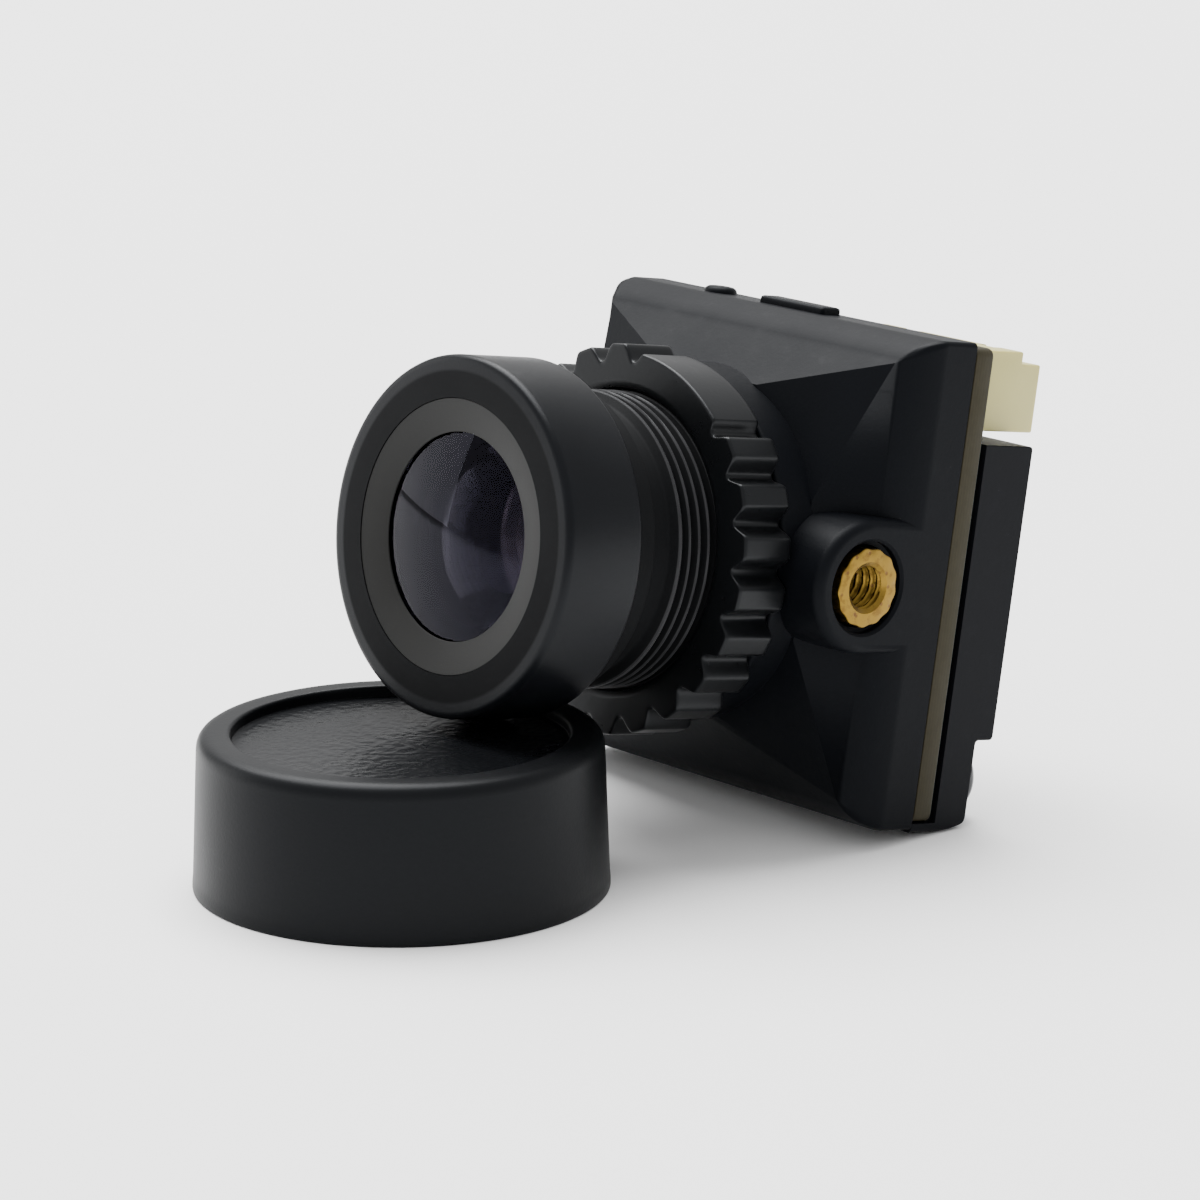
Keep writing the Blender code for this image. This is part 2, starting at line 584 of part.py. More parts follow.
def ring_outline():
    """Outline of the lock ring: sloped teeth between narrow valleys, and one wide tooth."""
    pitch = 360.0 / RING_PITCHES
    outline = []
    for index in range(RING_PITCHES):
        start = index * pitch
        if WIDE_TOOTH[0] < start < WIDE_TOOTH[1]:
            continue
        wide = start == WIDE_TOOTH[0]
        span = WIDE_TOOTH[1] - WIDE_TOOTH[0] if wide else pitch
        tip, flank, steps = (WIDE_TOOTH_RADIUS, WIDE_FLANK, 8) if wide else (RING_TIP, TOOTH_FLANK, 1)
        crest = span - 2.0 * flank
        places = [(start + VALLEY_HALF, RING_VALLEY)]
        places += [(start + flank + crest * step / steps, tip) for step in range(steps + 1)]
        places.append((start + span - VALLEY_HALF, RING_VALLEY))
        for degrees, radius in places:
            angle = math.radians(degrees)
            outline.append((radius * math.cos(angle), radius * math.sin(angle)))
    return outline


def build_lock_ring(builder):
    """Lock ring that clamps the lens in its thread."""
    loops = [ring_outline(), circle(0.0, 0.0, RING_BORE, ROUND_STEPS)]
    mesh = extruded("lens_lock_ring", loops, RING_FRONT, RING_BACK)
    builder.part("lens_lock_ring", mesh, "lens", builder.optics)


def build_barrel(builder):
    """Lens barrel with its head, neck and thread, and the bezel ring that closes its front."""
    chamfer = BARREL_CHAMFER
    barrel = [
        (BEZEL_SEAT_RADIUS, HEAD_FRONT),
        (HEAD_RADIUS - chamfer, HEAD_FRONT),
        (HEAD_RADIUS, HEAD_FRONT + chamfer),
        (HEAD_RADIUS, HEAD_BACK - chamfer),
        (HEAD_RADIUS - chamfer, HEAD_BACK),
        (NECK_RADIUS, HEAD_BACK),
        (NECK_RADIUS, NECK_BACK),
        (RELIEF_RADIUS, NECK_BACK + NECK_SLOPE),
        (RELIEF_RADIUS, THREAD_FRONT - THREAD_RUNOUT),
        (THREAD_RADIUS, THREAD_FRONT),
        (THREAD_RADIUS, BARREL_BACK - chamfer),
        (THREAD_RADIUS - chamfer, BARREL_BACK),
        (FILTER_SEAT_RADIUS, BARREL_BACK),
        (FILTER_SEAT_RADIUS, FILTER_SEAT_Y),
        (SHOULDER_RADIUS, FILTER_SEAT_Y),
        (SHOULDER_RADIUS, REAR_CELL_Y),
        (REAR_CELL_RADIUS, REAR_CELL_Y),
        (REAR_CELL_RADIUS, FRONT_CELL_Y),
        (FRONT_CELL_RADIUS, FRONT_CELL_Y),
        (FRONT_CELL_RADIUS, BEZEL_SEAT_Y),
        (BEZEL_SEAT_RADIUS, BEZEL_SEAT_Y),
    ]
    turned(builder, "lens_barrel", barrel, "lens", builder.optics)
    outer = BEZEL_SEAT_RADIUS - FIT
    bezel = [
        (BEZEL_RADIUS, BEZEL_FRONT_Y),
        (outer, HEAD_FRONT + BEZEL_SINK),
        (outer, BEZEL_SEAT_Y - FIT_BEHIND),
        (BEZEL_RADIUS, BEZEL_REAR_Y),
    ]
    turned(builder, "lens_bezel_ring", bezel, "lens", builder.optics)


def dome(clear, edge_y, bulge, steps=4):
    """Points of a curved glass face from its centre out to the clear radius."""
    points = []
    for step in range(steps + 1):
        radius = clear * step / steps
        points.append((radius, edge_y + bulge * (1.0 - (radius / clear) ** 2)))
    return points


def glass_profile(radius, front, back):
    """Profile of a glass element; each face is (clear radius, seat position, bulge towards +Y)."""
    profile = dome(*front) + [(radius, front[1]), (radius, back[1])]
    return profile + dome(*back)[::-1]


def build_glasses(builder):
    """The four glass elements and the infrared filter, front to back."""
    cell = REAR_CELL_RADIUS - FIT
    front_radius = FRONT_CELL_RADIUS - FIT
    elements = (
        ("front_element", "glass", front_radius, (front_radius, -17.03e-3, -0.95e-3), (3.4e-3, -16.2e-3, -0.8e-3)),
        ("second_element", "glass", cell, (3.4e-3, -14.45e-3, 0.35e-3), (2.6e-3, -13.3e-3, -0.3e-3)),
        ("third_element", "glass", cell, (2.5e-3, -12.34e-3, -0.2e-3), (3.2e-3, -11.2e-3, 0.5e-3)),
        ("rear_element", "glass", cell, (3.2e-3, -9.24e-3, -0.6e-3), (3.2e-3, -7.06e-3, 0.3e-3)),
    )
    for name, slot, radius, front, back in elements:
        profile = glass_profile(radius, front, back)
        cleaned = [point for index, point in enumerate(profile) if index == 0 or point != profile[index - 1]]
        turned(builder, name, cleaned, slot, builder.optics, GLASS_STEPS)
    filter_radius = FILTER_SEAT_RADIUS - FIT
    filter_front = FILTER_SEAT_Y + GAP
    filter_back = filter_front + 0.3e-3
    pane = [(0.0, filter_front), (filter_radius, filter_front), (filter_radius, filter_back), (0.0, filter_back)]
    turned(builder, "infrared_filter", pane, "filter", builder.optics, 48)


def build_spacers(builder):
    """Spacer rings and the aperture stop between the glass elements."""
    cell = REAR_CELL_RADIUS - FIT
    front_radius = FRONT_CELL_RADIUS - FIT
    front_spacer = [
        (3.5e-3, -16.14e-3),
        (front_radius, -16.14e-3),
        (front_radius, FRONT_CELL_Y - GAP),
        (3.5e-3, FRONT_CELL_Y - GAP),
    ]
    stop = [
        (2.7e-3, -13.24e-3),
        (cell, -13.24e-3),
        (cell, -12.4e-3),
        (2.6e-3, -12.4e-3),
        (1.6e-3, -12.75e-3),
        (1.6e-3, -12.9e-3),
    ]
    rear_spacer = [(3.3e-3, -11.14e-3), (cell, -11.14e-3), (cell, -9.3e-3), (3.3e-3, -9.3e-3)]
    rings = (("front_spacer", front_spacer), ("aperture_stop", stop), ("rear_spacer", rear_spacer))
    for name, profile in rings:
        turned(builder, name, profile, "lens", builder.optics, GLASS_STEPS)


def build_cap(builder):
    """Lens cap, open side down, with a shallow round recess in its top."""
    roof_edge = CAP_HEIGHT - CAP_RECESS_DEPTH
    profile = [(0.0, roof_edge), (CAP_RECESS_RADIUS - CAP_FLOOR_EDGE, roof_edge)]
    profile.append((CAP_RECESS_RADIUS, roof_edge + CAP_FLOOR_EDGE))
    profile += [(CAP_RECESS_RADIUS, CAP_HEIGHT - CAP_EDGE), (CAP_RECESS_RADIUS + CAP_EDGE, CAP_HEIGHT)]
    for step in range(5):
        angle = math.radians(90.0 - 90.0 * step / 4)
        radius = CAP_TOP_RADIUS - CAP_ROUND + CAP_ROUND * math.cos(angle)
        profile.append((radius, CAP_HEIGHT - CAP_ROUND + CAP_ROUND * math.sin(angle)))
    profile += [(CAP_BASE_RADIUS - inset, height) for inset, height in CAP_FOOT]
    profile.append((CAP_BASE_RADIUS, 0.0))
    profile += [(CAP_BORE + CAP_EDGE, 0.0), (CAP_BORE, CAP_EDGE), (CAP_BORE, CAP_BORE_DEPTH), (0.0, CAP_BORE_DEPTH)]
    turned(builder, "lens_cap", profile, "cap", builder.cap, axis="Z")


def smooth_parts(builder):
    """Shade round faces smooth and keep corners sharp."""
    for item in builder.parts.objects:
        item.data.shade_smooth()
        item.data.set_sharp_from_angle(angle=math.radians(30.0))


def main():
    """Build the camera and its cap."""
    clear_scene()
    builder = Builder()
    build_front_housing(builder)
    build_inserts(builder)
    build_board(builder)
    build_electronics(builder)
    build_connector(builder)
    build_rear_cover(builder)
    build_screws(builder)
    build_lock_ring(builder)
    build_barrel(builder)
    build_glasses(builder)
    build_spacers(builder)
    build_cap(builder)
    smooth_parts(builder)


main()
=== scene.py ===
"""Looks of a micro camera that leans on its upturned lens cap.

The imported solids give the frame. Each sub-assembly below is a class that rebuilds its visible pieces in
fine meshes and dresses them. Pieces are drawn in millimetres in a working frame of their own, such as the
camera's, where the lens looks along -Y and the circuit board's front face is y = 0, and are then put in
their place.
"""
from __future__ import annotations

import json
import logging
import math
from dataclasses import dataclass
from enum import Enum
from typing import Any, Iterable, Sequence

import bmesh
import bpy
from mathutils import Matrix, Vector

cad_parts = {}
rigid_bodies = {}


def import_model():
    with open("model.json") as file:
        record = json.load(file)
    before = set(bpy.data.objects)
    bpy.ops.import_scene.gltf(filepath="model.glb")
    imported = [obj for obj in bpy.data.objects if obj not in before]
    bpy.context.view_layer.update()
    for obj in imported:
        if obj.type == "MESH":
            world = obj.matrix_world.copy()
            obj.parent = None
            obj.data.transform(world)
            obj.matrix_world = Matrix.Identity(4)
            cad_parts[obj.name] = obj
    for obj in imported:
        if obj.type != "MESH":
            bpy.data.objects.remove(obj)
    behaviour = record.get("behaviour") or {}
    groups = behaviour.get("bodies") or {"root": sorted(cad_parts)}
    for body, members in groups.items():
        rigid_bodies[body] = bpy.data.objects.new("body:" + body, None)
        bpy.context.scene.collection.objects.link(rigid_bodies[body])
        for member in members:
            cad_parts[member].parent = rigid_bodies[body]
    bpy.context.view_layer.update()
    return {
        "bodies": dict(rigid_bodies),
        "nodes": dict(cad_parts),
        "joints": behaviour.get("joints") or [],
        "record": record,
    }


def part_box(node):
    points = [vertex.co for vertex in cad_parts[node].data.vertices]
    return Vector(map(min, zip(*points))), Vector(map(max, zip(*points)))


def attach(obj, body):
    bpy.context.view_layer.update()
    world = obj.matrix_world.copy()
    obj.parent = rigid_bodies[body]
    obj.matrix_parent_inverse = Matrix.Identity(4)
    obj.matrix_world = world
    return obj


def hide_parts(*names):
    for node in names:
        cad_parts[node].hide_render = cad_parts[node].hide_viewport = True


LOG = logging.getLogger("micro_camera")
MM = 0.001
GAP = 0.06
COOL = (0.93, 0.96, 1.0)
SMOOTH_ANGLE = math.radians(32.0)
OVERSHOOT = 1.0
SCREW_X = 7.2
SCREW_Z = -8.4
PEG_X = 8.2
PEG_Z = 4.5
QUARTER = math.pi / 2.0
Point = tuple[float, ...]
Colour = tuple[float, float, float]


class Body(Enum):
    """The bodies that pieces ride on."""

    CAMERA = "camera"
    RING = "lock_ring"
    LENS = "lens"
    CAP = "cap"


class Slot(Enum):
    """The record's material slots."""

    HOUSING = "housing"
    BRASS = "brass"
    BOARD = "board"
    GLASS = "lens_glass"
    CONNECTOR = "connector"
    CONTACT = "contact"
    SCREW = "screw"
    LENS_METAL = "lens_metal"
    CAP = "cap"


class Cut(Enum):
    """Ways in which one solid changes another."""

    ADD = "UNION"
    REMOVE = "DIFFERENCE"
    KEEP = "INTERSECT"


# ---------------------------------------------------------------------------------------------------------
# Node trees
# ---------------------------------------------------------------------------------------------------------


class Value:
    """A socket of a node tree that can be used in arithmetic."""

    def __init__(self, graph: "Graph", socket: bpy.types.NodeSocket) -> None:
        """Wrap a socket of a graph."""
        self.graph = graph
        self.socket = socket

    def _math(self, operation: str, *values: Any) -> "Value":
        """Add a Math node on this graph."""
        return self.graph.node("ShaderNodeMath", {"operation": operation}, dict(enumerate(values)))

    def __add__(self, other: Any) -> "Value":
        """Sum."""
        return self._math("ADD", self, other)

    __radd__ = __add__

    def __sub__(self, other: Any) -> "Value":
        """Difference."""
        return self._math("SUBTRACT", self, other)

    def __rsub__(self, other: Any) -> "Value":
        """Difference with this value on the right."""
        return self._math("SUBTRACT", other, self)

    def __mul__(self, other: Any) -> "Value":
        """Product."""
        return self._math("MULTIPLY", self, other)

    __rmul__ = __mul__

    def __truediv__(self, other: Any) -> "Value":
        """Quotient."""
        return self._math("DIVIDE", self, other)

    def __gt__(self, other: Any) -> "Value":
        """1 where this value is the greater one."""
        return self._math("GREATER_THAN", self, other)

    def __lt__(self, other: Any) -> "Value":
        """1 where this value is the smaller one."""
        return self._math("LESS_THAN", self, other)

    def __pow__(self, other: Any) -> "Value":
        """Power."""
        return self._math("POWER", self, other)

    def sine(self) -> "Value":
        """Sine of this value in radians."""
        return self._math("SINE", self)

    def size(self) -> "Value":
        """Absolute value."""
        return self._math("ABSOLUTE", self)

    def fraction(self) -> "Value":
        """Part after the decimal point, always positive."""
        return self._math("FRACT", self)

    def least(self, other: Any) -> "Value":
        """Smaller of two values."""
        return self._math("MINIMUM", self, other)

    def most(self, other: Any) -> "Value":
        """Greater of two values."""
        return self._math("MAXIMUM", self, other)

    def ramp(self, low: float, high: float) -> "Value":
        """Smooth step from 0 at low to 1 at high; it falls where low is the greater.

        Args:
            low: value that gives 0.
            high: value that gives 1.

        Returns:
            The stepped value.
        """
        if low > high:
            return 1.0 - self.ramp(high, low)
        settings = {"interpolation_type": "SMOOTHSTEP", "clamp": True}
        ends = {0: self, 1: low, 2: high, 3: 0.0, 4: 1.0}
        return self.graph.node("ShaderNodeMapRange", settings, ends)


class Graph:
    """Adds nodes to a shader or geometry tree."""

    def __init__(self, tree: bpy.types.NodeTree) -> None:
        """Wrap a node tree."""
        self.tree = tree

    def node(self, kind: str, settings: dict[str, Any] | None = None,
             inputs: dict[Any, Any] | None = None, output: int | str = 0) -> Value:
        """Add a node.

        Args:
            kind: the node's type.
            settings: its own settings; "stops" is a colour ramp's list of (position, colour).
            inputs: values or links for its sockets, by name or number.
            output: the output socket to return.

        Returns:
            The chosen output socket.
        """
        node = self.tree.nodes.new(kind)
        for name, value in (settings or {}).items():
            if name == "stops":
                self._set_stops(node.color_ramp, value)
            else:
                setattr(node, name, value)
        for key, value in (inputs or {}).items():
            self.feed(node.inputs[key], value)
        return Value(self, node.outputs[output])

    def feed(self, socket: bpy.types.NodeSocket, value: Any) -> None:
        """Link a value to a socket, or set the socket to a constant."""
        if isinstance(value, Value):
            self.tree.links.new(value.socket, socket)
        elif isinstance(value, tuple) and len(value) == 3 and socket.type == "RGBA":
            socket.default_value = (*value, 1.0)
        else:
            socket.default_value = value

    @staticmethod
    def _set_stops(ramp: bpy.types.ColorRamp, stops: Sequence[tuple[float, Colour]]) -> None:
        """Give a colour ramp its stops."""
        while len(ramp.elements) < len(stops):
            ramp.elements.new(1.0)
        for element, (position, colour) in zip(ramp.elements, stops):
            element.position = position
            element.color = (*colour, 1.0)

    def mix(self, factor: Any, first: Any, second: Any) -> Value:
        """Mix two colours."""
        return self.node("ShaderNodeMix", {"data_type": "RGBA"}, {0: factor, 6: first, 7: second}, 2)

    def vector(self, operation: str, first: Any, second: Any, output: int = 0) -> Value:
        """Add a Vector Math node."""
        return self.node("ShaderNodeVectorMath", {"operation": operation}, {0: first, 1: second}, output)

    def parts(self, vector: Value) -> tuple[Value, Value, Value]:
        """Split a vector into its three values."""
        first = self.node("ShaderNodeSeparateXYZ", inputs={0: vector})
        return tuple(Value(self, socket) for socket in first.socket.node.outputs)

    def join(self, across: Any, deep: Any, up: Any) -> Value:
        """Make a vector of three values."""
        return self.node("ShaderNodeCombineXYZ", inputs={0: across, 1: deep, 2: up})

    def around(self, place: Value) -> tuple[Value, Value, Value, Value]:
        """Split a point into its three values and its distance from the Y axis."""
        across, deep, up = self.parts(place)
        return across, deep, up, (across * across + up * up) ** 0.5

    def noise(self, place: Value, scale: float, detail: float = 2.0, rough: float = 0.5) -> Value:
        """Noise from 0 to 1."""
        sockets = {"Vector": place, "Scale": scale, "Detail": detail, "Roughness": rough}
        return self.node("ShaderNodeTexNoise", {"noise_dimensions": "3D"}, sockets, "Fac")

    def cells(self, place: Value, scale: float) -> Value:
        """Cell pattern: the distance to the nearest of many scattered points."""
        sockets = {"Vector": place, "Scale": scale}
        return self.node("ShaderNodeTexVoronoi", {"feature": "F1"}, sockets, "Distance")

    def bump(self, height: Value, depth: float, normal: Value | None = None) -> Value:
        """Turn a height from 0 to 1 into a bumped normal.

        Args:
            height: the height over the surface.
            depth: what a height of 1 stands for, in metres.
            normal: an earlier bump to add to.

        Returns:
            The normal.
        """
        inputs = {"Strength": 1.0, "Distance": depth, "Height": height}
        if normal is not None:
            inputs["Normal"] = normal
        return self.node("ShaderNodeBump", inputs=inputs)


class Shaper(Graph):
    """A Geometry Nodes tree with named sizes, run once on a mesh."""

    def __init__(self, name: str) -> None:
        """Start an empty tree with a geometry input and output."""
        super().__init__(bpy.data.node_groups.new(name, "GeometryNodeTree"))
        face = self.tree.interface
        face.new_socket("Geometry", in_out="INPUT", socket_type="NodeSocketGeometry")
        face.new_socket("Geometry", in_out="OUTPUT", socket_type="NodeSocketGeometry")
        self.way_in = self.tree.nodes.new("NodeGroupInput")
        self.way_out = self.tree.nodes.new("NodeGroupOutput")
        self.sizes: dict[str, Any] = {}

    @property
    def geometry(self) -> Value:
        """The mesh that the tree is given."""
        return Value(self, self.way_in.outputs["Geometry"])

    def named(self, name: str, value: Any, kind: str = "NodeSocketFloat") -> Value:
        """Add a named input and remember the value that it is run with.

        Args:
            name: the input's name.
            value: the value that it gets.
            kind: its socket type.

        Returns:
            The input as a value.
        """
        item = self.tree.interface.new_socket(name, in_out="INPUT", socket_type=kind)
        self.sizes[item.identifier] = value
        return Value(self, self.way_in.outputs[name])

    def position(self) -> tuple[Value, Value, Value, Value]:
        """Position of each point as three values, and its distance from the Y axis."""
        return self.around(self.node("GeometryNodeInputPosition"))

    def angle(self, across: Value, up: Value) -> Value:
        """Angle about the Y axis in radians."""
        return self.node("ShaderNodeMath", {"operation": "ARCTAN2"}, {0: up, 1: across})

    def reshaped(self, geometry: Value, across: Value, along: Value, up: Value) -> Value:
        """The geometry with its points moved to new places."""
        sockets = {"Geometry": geometry, "Position": self.join(across, along, up)}
        return self.node("GeometryNodeSetPosition", inputs=sockets)

    def scaled_about_axis(self, factor: Value, across: Value, along: Value, up: Value) -> Value:
        """The tree's own geometry with its points moved towards or away from the Y axis."""
        return self.reshaped(self.geometry, across * factor, along, up * factor)

    def run(self, mesh: bpy.types.Mesh | None, result: Value,
            material: bpy.types.Material) -> bpy.types.Mesh:
        """Finish the tree, run it and return its result as a plain mesh.

        Args:
            mesh: the mesh that the tree starts from, or None for an empty one.
            result: the geometry to keep.
            material: the material that it gets.

        Returns:
            The finished mesh.
        """
        real = self.node("GeometryNodeRealizeInstances", inputs={0: result})
        dressed = self.node("GeometryNodeSetMaterial", inputs={"Geometry": real, "Material": material})
        self.tree.links.new(dressed.socket, self.way_out.inputs[0])
        base = mesh if mesh is not None else bpy.data.meshes.new(self.tree.name)
        holder = new_object(self.tree.name, base)
        modifier = holder.modifiers.new("shape", "NODES")
        modifier.node_group = self.tree
        for identifier, value in self.sizes.items():
            modifier[identifier] = value
        return take_mesh(holder)


# ---------------------------------------------------------------------------------------------------------
# Mesh work
# ---------------------------------------------------------------------------------------------------------


def new_object(name: str, data: bpy.types.ID) -> bpy.types.Object:
    """Make an object and put it in the scene's collection."""
    made = bpy.data.objects.new(name, data)
    bpy.context.scene.collection.objects.link(made)
    return made


def take_mesh(holder: bpy.types.Object) -> bpy.types.Mesh:
    """Return an object's evaluated mesh as a plain mesh, and remove the object."""
    bpy.context.view_layer.update()
    graph = bpy.context.evaluated_depsgraph_get()
    mesh = bpy.data.meshes.new_from_object(holder.evaluated_get(graph))
    bpy.data.objects.remove(holder, do_unlink=True)
    return mesh


def to_mesh(shell: bmesh.types.BMesh, name: str = "mesh") -> bpy.types.Mesh:
    """Turn a bmesh into a mesh and free it."""
    mesh = bpy.data.meshes.new(name)
    shell.to_mesh(mesh)
    shell.free()
    return mesh


def rounded(points: Sequence[Point], fillet: float, steps: int = 4, closed: bool = True) -> list[Point]:
    """Round the corners of an outline.

    Args:
        points: (across, up) points, with a third number where a corner has its own fillet.
        fillet: the fillet of the other corners.
        steps: segments of each corner.
        closed: whether the last point joins the first.

    Returns:
        The points of the rounded outline.
    """
    result: list[Point] = []
    count = len(points)
    for index, point in enumerate(points):
        own = point[2] if len(point) > 2 else fillet
        if own == 0.0 or (not closed and index in (0, count - 1)):
            result.append((point[0], point[1]))
            continue
        corner = Vector(point[:2])
        before = Vector(points[index - 1][:2]) - corner
        after = Vector(points[(index + 1) % count][:2]) - corner
        reach = min(own, before.length * 0.48, after.length * 0.48)
        start = corner + before.normalized() * reach
        end = corner + after.normalized() * reach
        for step in range(steps + 1):
            share = step / steps
            place = start * (1 - share) ** 2 + corner * 2 * share * (1 - share) + end * share**2
            result.append((place.x, place.y))
    return result


def spread(start: Point, end: Point, spacing: float) -> list[Point]:
    """Points along a straight line, without its ends, about a spacing apart."""
    count = max(1, round(math.dist(start, end) / spacing))
    return [tuple(a + (b - a) * step / count for a, b in zip(start, end)) for step in range(1, count)]


def lathe(profile: Sequence[Point], steps: int) -> bpy.types.Mesh:
    """Turn a profile of (radius, position) points about Y.

    Args:
        profile: the points; a profile that starts and ends on the axis makes a solid, any other a ring.
        steps: how many sides a circle has.

    Returns:
        A closed mesh with its faces outwards.
    """
    shell = bmesh.new()
    columns = []
    for step in range(steps):
        angle = math.tau * step / steps
        cosine, sine = math.cos(angle), math.sin(angle)
        column = [shell.verts.new((radius * cosine, place, radius * sine)) for radius, place in profile]
        columns.append(column)
    solid = profile[0][0] < 1e-9 and profile[-1][0] < 1e-9
    rows = len(profile) - 1 if solid else len(profile)
    for step, column in enumerate(columns):
        other = columns[(step + 1) % steps]
        for row in range(rows):
            below = (row + 1) % len(profile)
            shell.faces.new((column[row], column[below], other[below], other[row]))
    bmesh.ops.remove_doubles(shell, verts=shell.verts, dist=1e-5)
    bmesh.ops.recalc_face_normals(shell, faces=shell.faces)
    return to_mesh(shell)


def extrude(loops: Sequence[Sequence[Point]], low: float, high: float, axis: str = "Y") -> bpy.types.Mesh:
    """Fill flat outlines and extrude them along an axis.

    Args:
        loops: closed outlines of (across, up) points; an inner one is a hole.
        low: where the solid starts along the axis.
        high: where it ends.
        axis: X, Y or Z.

    Returns:
        A closed mesh.
    """
    curve = bpy.data.curves.new("outline", "CURVE")
    curve.dimensions = "2D"
    curve.fill_mode = "BOTH"
    curve.extrude = (high - low) / 2.0
    for loop in loops:
        spline = curve.splines.new("POLY")
        spline.points.add(len(loop) - 1)
        for point, place in zip(spline.points, loop):
            point.co = (place[0], place[1], 0.0, 1.0)
        spline.use_cyclic_u = True
    holder = new_object("outline", curve)
    mesh = take_mesh(holder)
    middle = (low + high) / 2.0
    turns = {
        "X": Matrix(((0, 0, 1, middle), (1, 0, 0, 0), (0, 1, 0, 0), (0, 0, 0, 1))),
        "Y": Matrix.Translation((0.0, middle, 0.0)) @ Matrix.Rotation(QUARTER, 4, "X"),
        "Z": Matrix.Translation((0.0, 0.0, middle)),
    }
    shell = bmesh.new()
    shell.from_mesh(mesh)
    bmesh.ops.remove_doubles(shell, verts=shell.verts, dist=1e-5)
    bmesh.ops.dissolve_limit(shell, angle_limit=math.radians(0.5), verts=shell.verts, edges=shell.edges)
    bmesh.ops.transform(shell, matrix=turns[axis], verts=shell.verts)
    bmesh.ops.recalc_face_normals(shell, faces=shell.faces)
    return to_mesh(shell)


def circle(across: float, up: float, radius: float, steps: int = 64) -> list[Point]:
    """Points of a circle."""
    angles = (math.tau * step / steps for step in range(steps))
    return [(across + radius * math.cos(a), up + radius * math.sin(a)) for a in angles]


def rectangle(low: Point, high: Point, fillet: float, steps: int = 8) -> list[Point]:
    """Points of a rectangle with round corners."""
    corners = [(high[0], high[1]), (low[0], high[1]), (low[0], low[1]), (high[0], low[1])]
    return rounded(corners, fillet, steps)


def block(low: Point, high: Point, edge: float = 0.0, steps: int = 3) -> bpy.types.Mesh:
    """Make a box with rounded edges."""
    shell = bmesh.new()
    bmesh.ops.create_cube(shell, size=1.0)
    middle = Vector(low).lerp(Vector(high), 0.5)
    sides = Vector(high) - Vector(low)
    stretch = Matrix.Translation(middle) @ Matrix.Diagonal((*sides, 1.0))
    bmesh.ops.transform(shell, matrix=stretch, verts=shell.verts)
    if edge > 0.0:
        round_edges(shell, list(shell.edges), edge, steps)
    return to_mesh(shell)


def round_edges(shell: bmesh.types.BMesh, edges: Iterable[Any], width: float, steps: int = 3) -> None:
    """Round some edges of a bmesh."""
    bmesh.ops.bevel(shell, geom=list(edges), offset=width, segments=steps, profile=0.5, affect="EDGES",
                    clamp_overlap=True)


def round_sharp(mesh: bpy.types.Mesh, width: float, steps: int = 3, degrees: float = 40.0) -> bpy.types.Mesh:
    """Round every edge of a mesh that is sharper than an angle."""
    shell = bmesh.new()
    shell.from_mesh(mesh)
    sharp = [edge for edge in shell.edges if edge.calc_face_angle(0.0) > math.radians(degrees)]
    round_edges(shell, sharp, width, steps)
    return to_mesh(shell)


def combine(base: bpy.types.Mesh, changes: Sequence[tuple[Cut, bpy.types.Mesh]]) -> bpy.types.Mesh:
    """Change a solid by others, in order.

    Args:
        base: the solid.
        changes: how each other solid changes it.

    Returns:
        The result.
    """
    holder = new_object("base", base)
    tools = []
    for way, mesh in changes:
        tool = new_object("tool", mesh)
        tools.append(tool)
        boolean = holder.modifiers.new("cut", "BOOLEAN")
        boolean.operation = way.value
        boolean.solver = "EXACT"
        boolean.object = tool
    mesh = take_mesh(holder)
    for tool in tools:
        bpy.data.objects.remove(tool, do_unlink=True)
    return mesh


def even_shading(mesh: bpy.types.Mesh) -> bpy.types.Mesh:
    """Weight a mesh's normals by face area, so that wide flat faces look flat."""
    holder = new_object("even", mesh)
    weighted = holder.modifiers.new("normals", "WEIGHTED_NORMAL")
    weighted.keep_sharp = True
    weighted.weight = 100
    return take_mesh(holder)


def scaled(colour: Colour, factor: float, extra: float = 0.0) -> Colour:
    """A colour made lighter or darker, up to white."""
    return tuple(min(1.0, part * factor + extra) for part in colour)


def moved(mesh: bpy.types.Mesh, matrix: Matrix) -> bpy.types.Mesh:
    """Move a mesh and return it."""
    mesh.transform(matrix)
    return mesh


# ---------------------------------------------------------------------------------------------------------
# Finishes
# ---------------------------------------------------------------------------------------------------------


@dataclass(frozen=True)
class Finish:
    """A finish: constants for the shader, and a pattern that varies over the surface."""

    name: str
    colour: Colour
    rough: float
    metal: float = 0.0

    def shade(self, graph: Graph, place: Value) -> dict[str, Any]:
        """Shader inputs of this finish.

        Args:
            graph: the material's graph.
            place: the point on the piece, in its working frame in metres.

        Returns:
            Values by shader socket.
        """
        cloud = graph.noise(place, 900.0, 3.0)
        return {
            "Base Color": self.mottled(graph, cloud, 0.85, 1.15),
            "Roughness": cloud * 0.1 + (self.rough - 0.05),
            "Metallic": self.metal,
            "Normal": graph.bump(graph.noise(place, 6000.0, 2.0), 0.004 * MM),
        }

    def mottled(self, graph: Graph, pattern: Value, dark: float, light: float) -> Value:
        """The finish's colour, from a darker to a lighter shade after a pattern."""
        return graph.mix(pattern, scaled(self.colour, dark), scaled(self.colour, light))

    def make(self, frame: Matrix) -> bpy.types.Material:
        """Make the material for pieces that sit in a working frame.

        Args:
            frame: from the working frame in metres to the world.

        Returns:
            The material.
        """
        material = bpy.data.materials.new(self.name)
        material.use_nodes = True
        graph = Graph(material.node_tree)
        shader = material.node_tree.nodes["Principled BSDF"]
        spot = graph.node("ShaderNodeTexCoord", output="Object")
        turn = {"Vector": spot, "Location": frame.to_translation(), "Rotation": frame.to_euler()}
        place = graph.node("ShaderNodeMapping", {"vector_type": "TEXTURE"}, turn)
        for socket, value in self.shade(graph, place).items():
            graph.feed(shader.inputs[socket], value)
        return material


